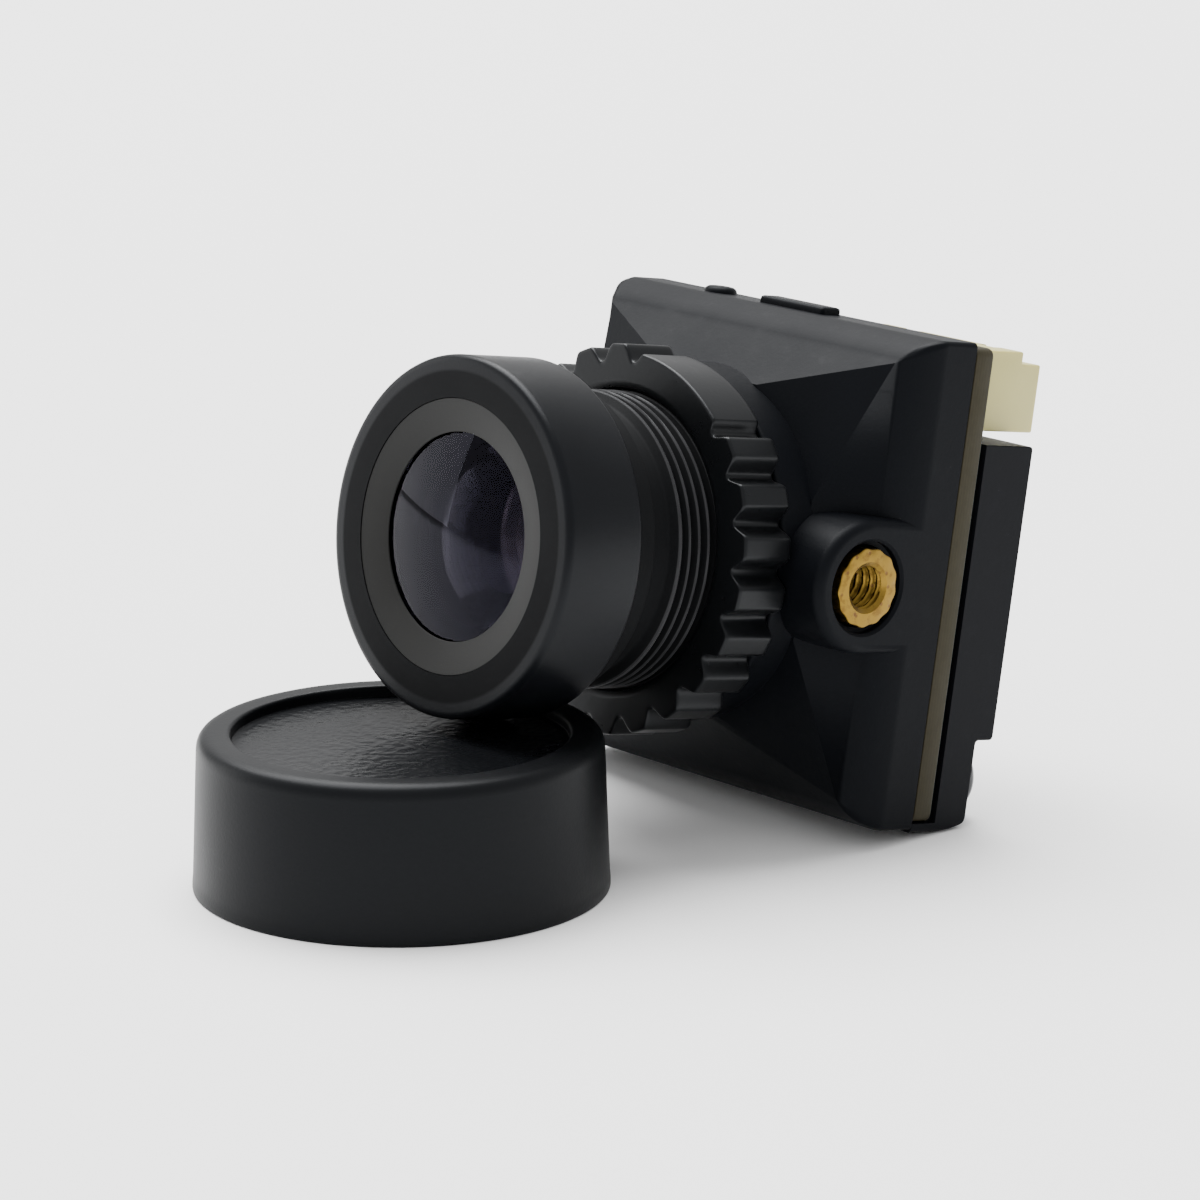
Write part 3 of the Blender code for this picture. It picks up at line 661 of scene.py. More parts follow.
@dataclass(frozen=True)
class MouldedPlastic(Finish):
    """Moulded plastic with a fine eroded grain, faint flow marks and rubbed spots."""

    grain: float = 0.006
    grain_scale: float = 5200.0
    rub: float = 0.06
    shine: float = 0.055

    def shade(self, graph: Graph, place: Value) -> dict[str, Any]:
        """Grain as bump, and rubbed spots that are smoother and a little lighter."""
        flow = graph.noise(place, 260.0, 4.0, 0.55)
        rubbed = graph.noise(place, 1400.0, 5.0, 0.7).ramp(0.52, 0.74)
        grain = graph.noise(place, self.grain_scale, 3.0, 0.6)
        specks = graph.cells(place, 2600.0).ramp(0.10, 0.03)
        base = self.mottled(graph, flow, 0.86, 1.22)
        base = graph.mix(rubbed * 0.14, base, scaled(self.colour, 1.7))
        base = graph.mix(specks * rubbed * 0.4, base, scaled(self.colour, 4.0, 0.02))
        fine = graph.bump(grain, self.grain * MM)
        return {
            "Base Color": base,
            "Roughness": flow * 0.14 + (self.rough - 0.07) - rubbed * self.rub,
            "Normal": graph.bump(flow, 0.006 * MM, fine),
            "Specular IOR Level": self.shine,
            "Specular Tint": COOL,
        }


@dataclass(frozen=True)
class CapPlastic(Finish):
    """The cap's plastic: satin sides, and a pebbled disc inside the top recess."""

    disc_radius: float = 6.5
    disc_height: float = 5.95
    floor_height: float = 5.2

    def shade(self, graph: Graph, place: Value) -> dict[str, Any]:
        """Pebbles inside the recess and a fine grain everywhere."""
        across, deep, up = graph.parts(place)
        radius = (across * across + deep * deep) ** 0.5
        on_disc = radius.ramp(self.disc_radius * MM, (self.disc_radius - 0.35) * MM)
        on_disc = on_disc * up.ramp((self.floor_height - 0.05) * MM, self.floor_height * MM)
        on_disc = on_disc * up.ramp(self.disc_height * MM, (self.disc_height - 0.05) * MM)
        pebbles = graph.noise(place, 2600.0, 1.5, 0.45).ramp(0.3, 0.7)
        swells = graph.noise(place, 900.0, 1.0, 0.5)
        grain = graph.noise(place, 6500.0, 3.0, 0.6)
        flow = graph.noise(place, 300.0, 4.0)
        flattened = graph.vector("MULTIPLY", place, (1.0, 1.0, 7.0))
        scuffs = graph.noise(flattened, 700.0, 5.0, 0.75).ramp(0.58, 0.78)
        base = self.mottled(graph, flow, 0.88, 1.15)
        base = graph.mix(scuffs * 0.15, base, scaled(self.colour, 2.0))
        disc = (pebbles * 0.55 + swells * 0.45) * on_disc
        fine = graph.bump(grain, 0.005 * MM)
        return {
            "Base Color": graph.mix(on_disc * 0.5, base, scaled(self.colour, 1.5)),
            "Roughness": flow * 0.1 + (self.rough - 0.05) - on_disc * 0.12 - scuffs * 0.08,
            "Normal": graph.bump(disc, 0.028 * MM, fine),
            "Specular IOR Level": 0.10,
            "Specular Tint": COOL,
        }


@dataclass(frozen=True)
class TurnedMetal(Finish):
    """Black anodised metal with the faint rings that turning leaves."""

    pitch: float = 0.045
    depth: float = 0.0016
    shine: float = 0.12

    def shade(self, graph: Graph, place: Value) -> dict[str, Any]:
        """Turning rings round the lens axis as bump, and cloudy dye as colour."""
        _, deep, _, radius = graph.around(place)
        wobble = graph.noise(place, 500.0, 2.0) * (0.02 * MM)
        rings = ((radius + deep + wobble) * (math.tau / (self.pitch * MM))).sine() * 0.5 + 0.5
        dye = graph.noise(place, 380.0, 4.0)
        pits = graph.cells(place, 5200.0).ramp(0.16, 0.05)
        base = self.mottled(graph, dye, 0.85, 1.2)
        fine = graph.bump(graph.noise(place, 9000.0, 2.0), 0.002 * MM)
        return {
            "Base Color": graph.mix(pits * 0.3, base, scaled(self.colour, 2.2)),
            "Roughness": dye * 0.12 + (self.rough - 0.06),
            "Metallic": self.metal,
            "Specular IOR Level": self.shine,
            "Specular Tint": COOL,
            "Normal": graph.bump(rings, self.depth * MM, fine),
        }


@dataclass(frozen=True)
class ThreadedMetal(TurnedMetal):
    """Turned metal whose neck and everything narrower are matt and darkened with painted shade, and whose
    thread crests are lightened with a painted highlight.
    """

    neck_radius: float = 6.6
    crest_radius: float = 5.93
    thread_start: float = -11.7
    # Colour of the painted highlight along the thread crests.
    crest_painted_highlight: Colour = (0.036, 0.036, 0.038)

    def shade(self, graph: Graph, place: Value) -> dict[str, Any]:
        """The turned finish, with painted shade near the axis (the neck and all that is narrower) and a
        painted highlight on the thread crests.
        """
        _, deep, _, radius = graph.around(place)
        neck = radius.ramp(self.neck_radius * MM, (self.neck_radius - 0.2) * MM)
        crest = radius.ramp((self.crest_radius - 0.03) * MM, self.crest_radius * MM)
        crest = crest * neck * deep.ramp((self.thread_start - 0.1) * MM, self.thread_start * MM)
        crest = crest * (graph.noise(place, 900.0, 3.0) * 0.5 + 0.5)
        sockets = super().shade(graph, place)
        # Painted shade: everything within the neck radius is darkened to stand for the shadow behind the
        # lens head.
        neck_painted_shade = graph.mix(neck, sockets["Base Color"], scaled(self.colour, 0.3))
        # Painted highlight: the thread crests are lightened to stand for the thin highlight lines along
        # them.
        sockets["Base Color"] = graph.mix(crest, neck_painted_shade, self.crest_painted_highlight)
        sockets["Roughness"] = sockets["Roughness"] + (neck - crest) * 0.4
        return sockets


@dataclass(frozen=True)
class Brass(Finish):
    """Machined brass with small pits, smears and darker patches of old cutting oil."""

    stain: Colour = (0.12, 0.062, 0.016)
    pit: Colour = (0.10, 0.05, 0.02)

    def shade(self, graph: Graph, place: Value) -> dict[str, Any]:
        """Pits and smears."""
        smear = graph.noise(place, 1500.0, 4.0, 0.6)
        pits = graph.cells(place, 2300.0).ramp(0.24, 0.12)
        stains = graph.noise(place, 2600.0, 5.0, 0.7).ramp(0.50, 0.66)
        base = self.mottled(graph, smear, 0.86, 1.1)
        base = graph.mix(stains * 0.55, base, self.stain)
        base = graph.mix(pits * 0.8, base, self.pit)
        return {
            "Base Color": base,
            "Roughness": smear * 0.16 + (self.rough - 0.08) + stains * 0.15,
            "Metallic": 1.0,
            "Normal": graph.bump(smear - pits * 0.7, 0.008 * MM),
        }


@dataclass(frozen=True)
class CircuitBoard(Finish):
    """Circuit board: glass-fibre layers on its cut edge, solder mask with tracks on its faces."""

    thickness: float = 1.0
    mask: Colour = (0.006, 0.012, 0.009)
    layer: float = 0.16
    track_pitch: Point = (1.1, 0.9)

    def shade(self, graph: Graph, place: Value) -> dict[str, Any]:
        """Layers across the thickness; tracks in a square pattern on the faces."""
        across, deep, up = graph.parts(place)
        front = deep.ramp(0.02 * MM, 0.06 * MM)
        inside = front * deep.ramp((self.thickness - 0.02) * MM, (self.thickness - 0.06) * MM)
        layers = self.wave(deep, self.layer) * 0.5 + 0.5
        stretched = graph.join(across, deep * 0.25, up)
        fibres = graph.noise(graph.vector("MULTIPLY", stretched, (1.0, 6.0, 1.0)), 2600.0, 4.0, 0.7)
        dust = graph.noise(place, 1100.0, 4.0)
        edge = self.mottled(graph, fibres, 0.78, 1.25)
        edge = graph.mix(layers * 0.25, edge, scaled(self.colour, 0.6))
        lines = (self.wave(across, self.track_pitch[0]) * self.wave(up, self.track_pitch[1])).ramp(0.25, 0.4)
        face = graph.mix(lines, self.mask, scaled(self.mask, 2.2))
        return {
            "Base Color": graph.mix(inside, face, edge),
            "Roughness": inside * 0.22 + 0.33 + dust * 0.15,
            "Specular IOR Level": 0.15,
            "Normal": graph.bump(fibres * inside * 0.6 + lines * (1.0 - inside) * 0.5, 0.02 * MM),
        }

    @staticmethod
    def wave(place: Value, pitch: float) -> Value:
        """A wave along one direction that repeats at a pitch."""
        return (place * (math.tau / (pitch * MM))).sine()


@dataclass(frozen=True)
class CoatedGlass(Finish):
    """Polished glass with an anti-reflection coating and a trace of dust."""

    coating: Colour = (0.55, 0.6, 1.0)
    reflection: float = 0.2
    bending: float = 1.5

    def shade(self, graph: Graph, place: Value) -> dict[str, Any]:
        """Clear glass with a few dust specks."""
        dust = graph.cells(place, 1700.0).ramp(0.05, 0.02)
        return {
            "Base Color": self.colour,
            "Roughness": dust * 0.25 + self.rough,
            "Transmission Weight": 1.0,
            "IOR": self.bending,
            "Specular Tint": self.coating,
            "Specular IOR Level": self.reflection,
        }


@dataclass(frozen=True)
class Pebbled(Finish):
    """Small parts: moulded epoxy, ceramic, foam or ferrite, each with its own grain."""

    grain_scale: float = 3500.0
    grain: float = 0.02

    def shade(self, graph: Graph, place: Value) -> dict[str, Any]:
        """Grain and blotches."""
        grain = graph.cells(place, self.grain_scale)
        blotch = graph.noise(place, 800.0, 4.0)
        return {
            "Base Color": self.mottled(graph, blotch, 0.8, 1.2),
            "Roughness": blotch * 0.15 + (self.rough - 0.07),
            "Metallic": self.metal,
            "Normal": graph.bump(grain, self.grain * MM),
        }


@dataclass(frozen=True)
class IvoryNylon(Finish):
    """Ivory connector nylon, slightly translucent, with mould marks."""

    def shade(self, graph: Graph, place: Value) -> dict[str, Any]:
        """Faint blotches and fine grain."""
        blotch = graph.noise(place, 700.0, 4.0, 0.6)
        grain = graph.noise(place, 5000.0, 3.0)
        low = tuple(c * f for c, f in zip(self.colour, (0.9, 0.88, 0.82)))
        return {
            "Base Color": graph.mix(blotch, low, self.colour),
            "Roughness": blotch * 0.1 + (self.rough - 0.05),
            "Subsurface Weight": 0.25,
            "Subsurface Radius": (0.6 * MM, 0.5 * MM, 0.35 * MM),
            "Subsurface Scale": 1.0,
            "Normal": graph.bump(grain, 0.006 * MM),
        }


# ---------------------------------------------------------------------------------------------------------
# Workshop: working frames, and how a finished piece joins the scene
# ---------------------------------------------------------------------------------------------------------


class Workshop:
    """Knows the frame and the finishes, and puts finished meshes in the scene."""

    def __init__(self, frame: dict[str, Any]) -> None:
        """Work out the camera's and the cap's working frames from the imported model."""
        self.nodes = frame["nodes"]
        joint = next(j for j in frame["joints"] if j["name"] == "focus_turn")
        ahead = Vector(joint["axis"])
        self.tilt = math.atan2(ahead.z, -ahead.y)
        self.camera = Matrix.Translation(joint["pos_m"]) @ Matrix.Rotation(-self.tilt, 4, "X")
        low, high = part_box("lens_cap")
        middle = (low + high) / 2.0
        self.cap = Matrix.Translation((middle.x, middle.y, low.z))
        self.finishes = self._make_finishes()

    def _make_finishes(self) -> dict[str, bpy.types.Material]:
        """Make every finish once, by its name."""
        in_camera = (
            MouldedPlastic("housing_plastic", (0.0026, 0.0030, 0.0040), 0.46),
            MouldedPlastic("cover_plastic", (0.0040, 0.0043, 0.0054), 0.42, grain=0.004),
            MouldedPlastic("ring_plastic", (0.0032, 0.0035, 0.0040), 0.32, grain=0.003,
                           grain_scale=4200.0, shine=0.17),
            ThreadedMetal("black_anodised", (0.0028, 0.0031, 0.0040), 0.32),
            # Painted reflection: the bezel's colour is lighter than the barrel's to stand for the floor
            # reflected in its cone.
            TurnedMetal("bezel_anodised_painted_reflection", (0.0150, 0.0148, 0.0140), 0.5, depth=0.0008),
            TurnedMetal("blackened_bore", (0.0012, 0.0012, 0.0014), 0.8, shine=0.05),
            TurnedMetal("screw_black", (0.003, 0.003, 0.0034), 0.18, depth=0.0005, shine=0.5),
            Brass("insert_brass", (0.19, 0.118, 0.022), 0.34),
            CircuitBoard("board_laminate", (0.026, 0.0222, 0.0115), 0.5),
            IvoryNylon("connector_nylon", (0.46, 0.42, 0.16), 0.46),
            Finish("contact_tin", (0.78, 0.77, 0.74), 0.25, 1.0),
            Finish("pad_gold", (0.85, 0.6, 0.28), 0.3, 1.0),
            CoatedGlass("front_glass", (0.36, 0.34, 0.41), 0.0, coating=(0.62, 0.60, 1.0),
                        reflection=0.42, bending=1.17),
            CoatedGlass("inner_glass", (0.80, 0.78, 0.76), 0.0, coating=(1.0, 0.88, 0.80), reflection=0.5),
            CoatedGlass("filter_glass", (0.75, 0.45, 0.5), 0.0, coating=(1.0, 0.3, 0.3), reflection=0.2),
            Pebbled("chip_epoxy", (0.01, 0.01, 0.0105), 0.6),
            Pebbled("ceramic_body", (0.35, 0.32, 0.26), 0.55, grain=0.01),
            Pebbled("ferrite_body", (0.05, 0.05, 0.055), 0.65, grain_scale=6000.0),
            Pebbled("metal_can", (0.62, 0.61, 0.57), 0.3, 1.0, grain=0.003),
            Pebbled("gasket_foam", (0.006, 0.006, 0.006), 0.92, grain_scale=4200.0, grain=0.06),
        )
        made = {finish.name: finish.make(self.camera) for finish in in_camera}
        cap = CapPlastic("cap_plastic", (0.0032, 0.0035, 0.0041), 0.4)
        made[cap.name] = cap.make(self.cap)
        return made

    def material(self, name: str) -> bpy.types.Material:
        """The material of a finish."""
        return self.finishes[name]

    def add(self, name: str, mesh: bpy.types.Mesh, finish: str, body: Body, slot: Slot,
            stands_for: Sequence[str] = (), frame: Matrix | None = None,
            flats: bool = False) -> bpy.types.Object:
        """Put a finished mesh, drawn in millimetres in its working frame, in the scene.

        Args:
            name: the piece's name.
            mesh: its mesh.
            finish: the name of its finish.
            body: the body that it rides on.
            slot: the record's material slot; not used.
            stands_for: the solids that it replaces.
            frame: the working frame; the camera's when left out.
            flats: whether its wide flat faces stay evenly shaded beside their rounded edges.

        Returns:
            The piece.
        """
        home = self.camera if frame is None else frame
        mesh.shade_smooth()
        mesh.set_sharp_from_angle(angle=SMOOTH_ANGLE)
        if flats:
            mesh = even_shading(mesh)
        mesh.transform(home @ Matrix.Scale(MM, 4))
        mesh.name = name
        mesh.materials.clear()
        mesh.materials.append(self.material(finish))
        piece = new_object(name, mesh)
        if stands_for:
            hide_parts(*stands_for)
        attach(piece, body.value)
        mesh.calc_loop_triangles()
        LOG.info("%s: %d triangles, rides on %s", name, len(mesh.loop_triangles), body.value)
        return piece

    def dress(self, node: str, finish: str) -> None:
        """Give a carried-over solid a finish."""
        slots = self.nodes[node].data.materials
        slots.clear()
        slots.append(self.material(finish))
        LOG.info("%s: keeps its solid, dressed in %s", node, finish)


# ---------------------------------------------------------------------------------------------------------
# Sub-assemblies
# ---------------------------------------------------------------------------------------------------------


@dataclass
class FrontHousing:
    """Black front housing: an eight-sided cone on a square box, with a collar, side lugs and top marks."""

    half_width: float = 9.5
    top: float = 9.7
    bottom: float = -10.1
    band: float = 2.9
    octagon_radius: float = 7.4
    octagon_y: float = -5.4
    top_round: float = 1.3
    side_round: float = 1.3
    corner_round: float = 0.2
    collar_radius: float = 7.3
    collar_front: float = -7.04
    bore_radius: float = 6.06
    pocket_half: float = 6.6
    pocket_depth: float = 3.2
    pocket_corner: float = 0.8
    lug_y: float = -4.32
    lug_z: float = -0.2
    lug_radius: float = 2.7
    lug_inner: float = 5.4
    lug_rear: float = -0.4
    lug_round: float = 0.42
    hole_radius: float = 1.67
    mouth_radius: float = 1.86
    mouth_depth: float = 0.4
    hole_depth: float = 2.56
    screw_hole: float = 1.05
    screw_depth: float = 2.0
    key_half: float = 1.9
    key_y: float = -0.8
    key_reach: float = 0.55
    key_rise: float = 0.3
    key_round: float = 0.16
    nub_x: float = -4.8
    nub_radius: float = 0.7
    nub_rise: float = 0.26
    root: float = 0.4

    def hull(self) -> bpy.types.Mesh:
        """The square box and the eight-sided cone in front of it, with rounded walls."""
        shell = bmesh.new()
        for x in (-self.half_width, self.half_width):
            for z in (self.bottom, self.top):
                for y in (-self.band, 0.0):
                    shell.verts.new((x, y, z))
        for corner in range(8):
            angle = math.radians(22.5 + 45.0 * corner)
            reach = self.octagon_radius
            shell.verts.new((reach * math.cos(angle), self.octagon_y, reach * math.sin(angle)))
        bmesh.ops.convex_hull(shell, input=shell.verts)
        bmesh.ops.dissolve_limit(shell, angle_limit=math.radians(1.0), verts=shell.verts, edges=shell.edges)
        weights = shell.edges.layers.float.new("bevel_weight_edge")
        for edge in shell.edges:
            edge[weights] = self._rounding(edge) / self.side_round
        holder = new_object("hull", to_mesh(shell))
        rounding = holder.modifiers.new("walls", "BEVEL")
        rounding.limit_method = "WEIGHT"
        rounding.width = self.side_round
        rounding.segments = 8
        return take_mesh(holder)

    def _rounding(self, edge: Any) -> float:
        """How wide an edge of the hull is rounded."""
        depths = [vert.co.y for vert in edge.verts]
        sides = [vert.co.x for vert in edge.verts]
        if min(depths) < -self.band - 1e-3 or min(depths) > -1e-3:
            return 0.0
        if max(depths) > -1e-3:
            return self.corner_round
        return self.side_round if sides[0] * sides[1] > 0.0 else self.top_round

    def lug(self, side: float) -> bpy.types.Mesh:
        """One side lug: a round-nosed bar across the housing with a rounded outer rim."""
        nose = [math.radians(90.0 + 180.0 * step / 32) for step in range(33)]
        rear = self.lug_rear
        outline = [(rear, self.lug_z - self.lug_radius), (rear, self.lug_z + self.lug_radius)]
        for angle in nose:
            height = self.lug_z + self.lug_radius * math.sin(angle)
            outline.append((self.lug_y + self.lug_radius * math.cos(angle), height))
        ends = sorted((side * self.lug_inner, side * self.half_width))
        shell = bmesh.new()
        shell.from_mesh(extrude([outline], *ends, axis="X"))
        outer = side * self.half_width
        rim = [
            edge for edge in shell.edges
            if all(abs(vert.co.x - outer) < 1e-3 for vert in edge.verts)
            and not all(vert.co.y > rear - 0.01 for vert in edge.verts)
        ]
        round_edges(shell, rim, self.lug_round, 4)
        return to_mesh(shell)

    def insert_hole(self, side: float) -> bpy.types.Mesh:
        """Cutter for the insert's hole with its wider, softly rounded mouth."""
        profile = [
            (0.0, -0.3),
            (self.mouth_radius + 0.12, -0.3),
            (self.mouth_radius + 0.12, 0.0),
            (self.mouth_radius, 0.12),
            (self.mouth_radius, self.mouth_depth),
            (self.hole_radius, self.mouth_depth + 0.08),
            (self.hole_radius, self.hole_depth),
            (0.0, self.hole_depth),
        ]
        turn = Matrix.Rotation(side * QUARTER, 4, "Z")
        place = Matrix.Translation((side * self.half_width, self.lug_y, self.lug_z))
        return moved(lathe(profile, 64), place @ turn)

    def build(self, shop: Workshop) -> None:
        """Build and dress the housing."""
        collar = lathe(rounded([
            (0.0, self.collar_front, 0.0),
            (self.collar_radius, self.collar_front, 0.18),
            (self.collar_radius, -self.pocket_depth, 0.0),
            (0.0, -self.pocket_depth, 0.0),
        ], 0.0), 144)
        key_low = (-self.key_half, self.key_y - self.key_reach, self.top - self.root)
        key_high = (self.key_half, self.key_y + self.key_reach, self.top + self.key_rise)
        key = block(key_low, key_high, self.key_round)
        nub = lathe(rounded([
            (0.0, -self.root, 0.0),
            (self.nub_radius, -self.root, 0.0),
            (self.nub_radius, self.nub_rise, 0.55),
            (0.0, self.nub_rise, 0.0),
        ], 0.0), 32)
        upright = Matrix.Rotation(QUARTER, 4, "X")
        moved(nub, Matrix.Translation((self.nub_x, self.key_y, self.top)) @ upright)
        adds = [(Cut.ADD, mesh) for mesh in (collar, self.lug(-1.0), self.lug(1.0), key, nub)]
        bore = lathe(rounded([
            (0.0, self.collar_front - OVERSHOOT, 0.0),
            (self.bore_radius + 1.2, self.collar_front - OVERSHOOT, 0.0),
            (self.bore_radius, self.collar_front + 0.2, 0.05),
            (self.bore_radius, OVERSHOOT, 0.0),
            (0.0, OVERSHOOT, 0.0),
        ], 0.0), 144)
        half = self.pocket_half
        outline = rectangle((-half, -half), (half, half), self.pocket_corner)
        pocket = extrude([outline], -self.pocket_depth, OVERSHOOT)
        cuts = [(Cut.REMOVE, bore), (Cut.REMOVE, pocket)]
        for side in (-1.0, 1.0):
            cuts.append((Cut.REMOVE, self.insert_hole(side)))
            outline = circle(side * SCREW_X, SCREW_Z, self.screw_hole, 32)
            cuts.append((Cut.REMOVE, extrude([outline], -self.screw_depth, OVERSHOOT)))
        mesh = combine(self.hull(), adds + cuts)
        shop.add("housing_shell", mesh, "housing_plastic", Body.CAMERA, Slot.HOUSING, ["front_housing"],
                 flats=True)


@dataclass
class SideInsert:
    """Knurled brass insert with an M2 thread, melted into a side lug."""

    radius: float = 1.6
    length: float = 2.5
    minor: float = 0.86
    major: float = 1.05
    mouth: float = 1.04
    pitch: float = 0.4
    lobes: float = 13.0
    lobe_depth: float = 0.06
    lug_y: float = -4.32
    lug_z: float = -0.2
    face_x: float = 9.5

    def profile(self) -> list[Point]:
        """Cross-section of the blank, from its outer face at position 0 inwards."""
        bore_start = (self.minor, 0.14)
        bore_end = (self.minor, self.length - 0.1)
        outline = rounded([
            (self.mouth, 0.0, 0.04),
            (self.radius, 0.0, 0.06),
            (self.radius, 1.0, 0.0),
            (self.radius, self.length, 0.1),
            (self.minor + 0.1, self.length, 0.0),
        ], 0.0, 3, closed=False)
        return outline + [bore_end] + spread(bore_end, bore_start, 0.032) + [bore_start]

    def tree(self) -> tuple[Shaper, Value]:
        """Geometry tree that turns the blank into a knurled and threaded insert."""
        tree = Shaper("knurl_and_thread")
        pitch = tree.named("Thread Pitch", self.pitch)
        depth = tree.named("Thread Depth", self.major - self.minor)
        first = tree.named("Thread Start", 0.12)
        lobes = tree.named("Knurl Lobes", self.lobes)
        lobe_depth = tree.named("Knurl Depth", self.lobe_depth)
        across, along, up, radius = tree.position()
        angle = tree.angle(across, up)
        turn = (along / pitch + angle / math.tau).fraction()
        groove = 1.0 - ((turn * 2.0 - 1.0).size()).ramp(0.18, 0.92)
        started = (along - first).ramp(0.0, 0.2)
        inner = radius < (self.minor + 0.06)
        wave = ((angle * lobes).sine() + (angle * 5.0 + 1.3).sine() * 0.35) * 0.5 + 0.5
        outer = radius.ramp(self.radius - 0.12, self.radius - 0.02)
        factor = (groove * depth * started * inner - wave * lobe_depth * outer + radius) / radius
        return tree, tree.scaled_about_axis(factor, across, along, up)

    def build(self, shop: Workshop) -> None:
        """Build and dress both inserts."""
        for side, name in ((-1.0, "left"), (1.0, "right")):
            tree, result = self.tree()
            mesh = tree.run(lathe(self.profile(), 104), result, shop.material("insert_brass"))
            turn = Matrix.Rotation(side * QUARTER, 4, "Z")
            moved(mesh, Matrix.Translation((side * self.face_x, self.lug_y, self.lug_z)) @ turn)
            shop.add(f"brass_insert_{name}", mesh, "insert_brass", Body.CAMERA, Slot.BRASS,
                     [f"side_insert_{name}"])


@dataclass
class Board:
    """Circuit board, its rear test pads, and the parts on it that stay as their solids."""

    half_width: float = 9.5
    top: float = 9.5
    bottom: float = -9.79
    thickness: float = 1.0
    corner: float = 0.4
    screw_hole: float = 1.1
    peg_hole: float = 0.57
    pad_count: int = 5
    pad_pitch: float = 1.6
    pad_radius: float = 0.5
    pad_x: float = -5.0
    pad_z: float = 7.7

    def plate(self) -> bpy.types.Mesh:
        """The board itself with slightly broken edges."""
        loops = [rectangle((-self.half_width, self.bottom), (self.half_width, self.top), self.corner)]
        for side in (-1.0, 1.0):
            loops.append(circle(side * SCREW_X, SCREW_Z, self.screw_hole, 40))
            loops.append(circle(side * PEG_X, PEG_Z, self.peg_hole, 32))
        return round_sharp(extrude(loops, GAP, self.thickness), 0.05, 2)

    def pads(self, shop: Workshop) -> bpy.types.Mesh:
        """A row of round pads, each a low dome of solder, laid by a tree."""
        tree = Shaper("pad_row")
        count = tree.named("Pad Count", self.pad_count, "NodeSocketInt")
        pitch = tree.named("Pad Pitch", self.pad_pitch)
        radius = tree.named("Pad Radius", self.pad_radius)
        offset = tree.join(pitch, 0.0, 0.0)
        first_x = self.pad_x - self.pad_pitch * (self.pad_count - 1) / 2.0
        start = (first_x, self.thickness + 0.02, self.pad_z)
        row_inputs = {"Count": count, "Start Location": start, "Offset": offset}
        row = tree.node("GeometryNodeMeshLine", inputs=row_inputs)
        sphere_inputs = {"Segments": 24, "Rings": 12, "Radius": radius}
        sphere = tree.node("GeometryNodeMeshUVSphere", inputs=sphere_inputs)
        flat = tree.node("GeometryNodeTransform", inputs={"Geometry": sphere, "Scale": (1.0, 0.1, 1.0)})
        placed = tree.node("GeometryNodeInstanceOnPoints", inputs={"Points": row, "Instance": flat})
        return tree.run(None, placed, shop.material("pad_gold"))

    def build(self, shop: Workshop) -> None:
        """Build and dress the board and dress what is on it."""
        shop.add("board_laminate", self.plate(), "board_laminate", Body.CAMERA, Slot.BOARD,
                 ["sensor_board"])
        shop.add("board_test_pads", self.pads(shop), "pad_gold", Body.CAMERA, Slot.CONTACT)
        for node in ("image_processor", "flash_memory", "voltage_regulator"):
            shop.dress(node, "chip_epoxy")
        for node in ("image_sensor", "input_capacitor", "output_capacitor"):
            shop.dress(node, "ceramic_body")
        shop.dress("power_inductor", "ferrite_body")
        shop.dress("clock_crystal", "metal_can")
        shop.dress("dust_gasket", "gasket_foam")
        shop.dress("sensor_window", "inner_glass")


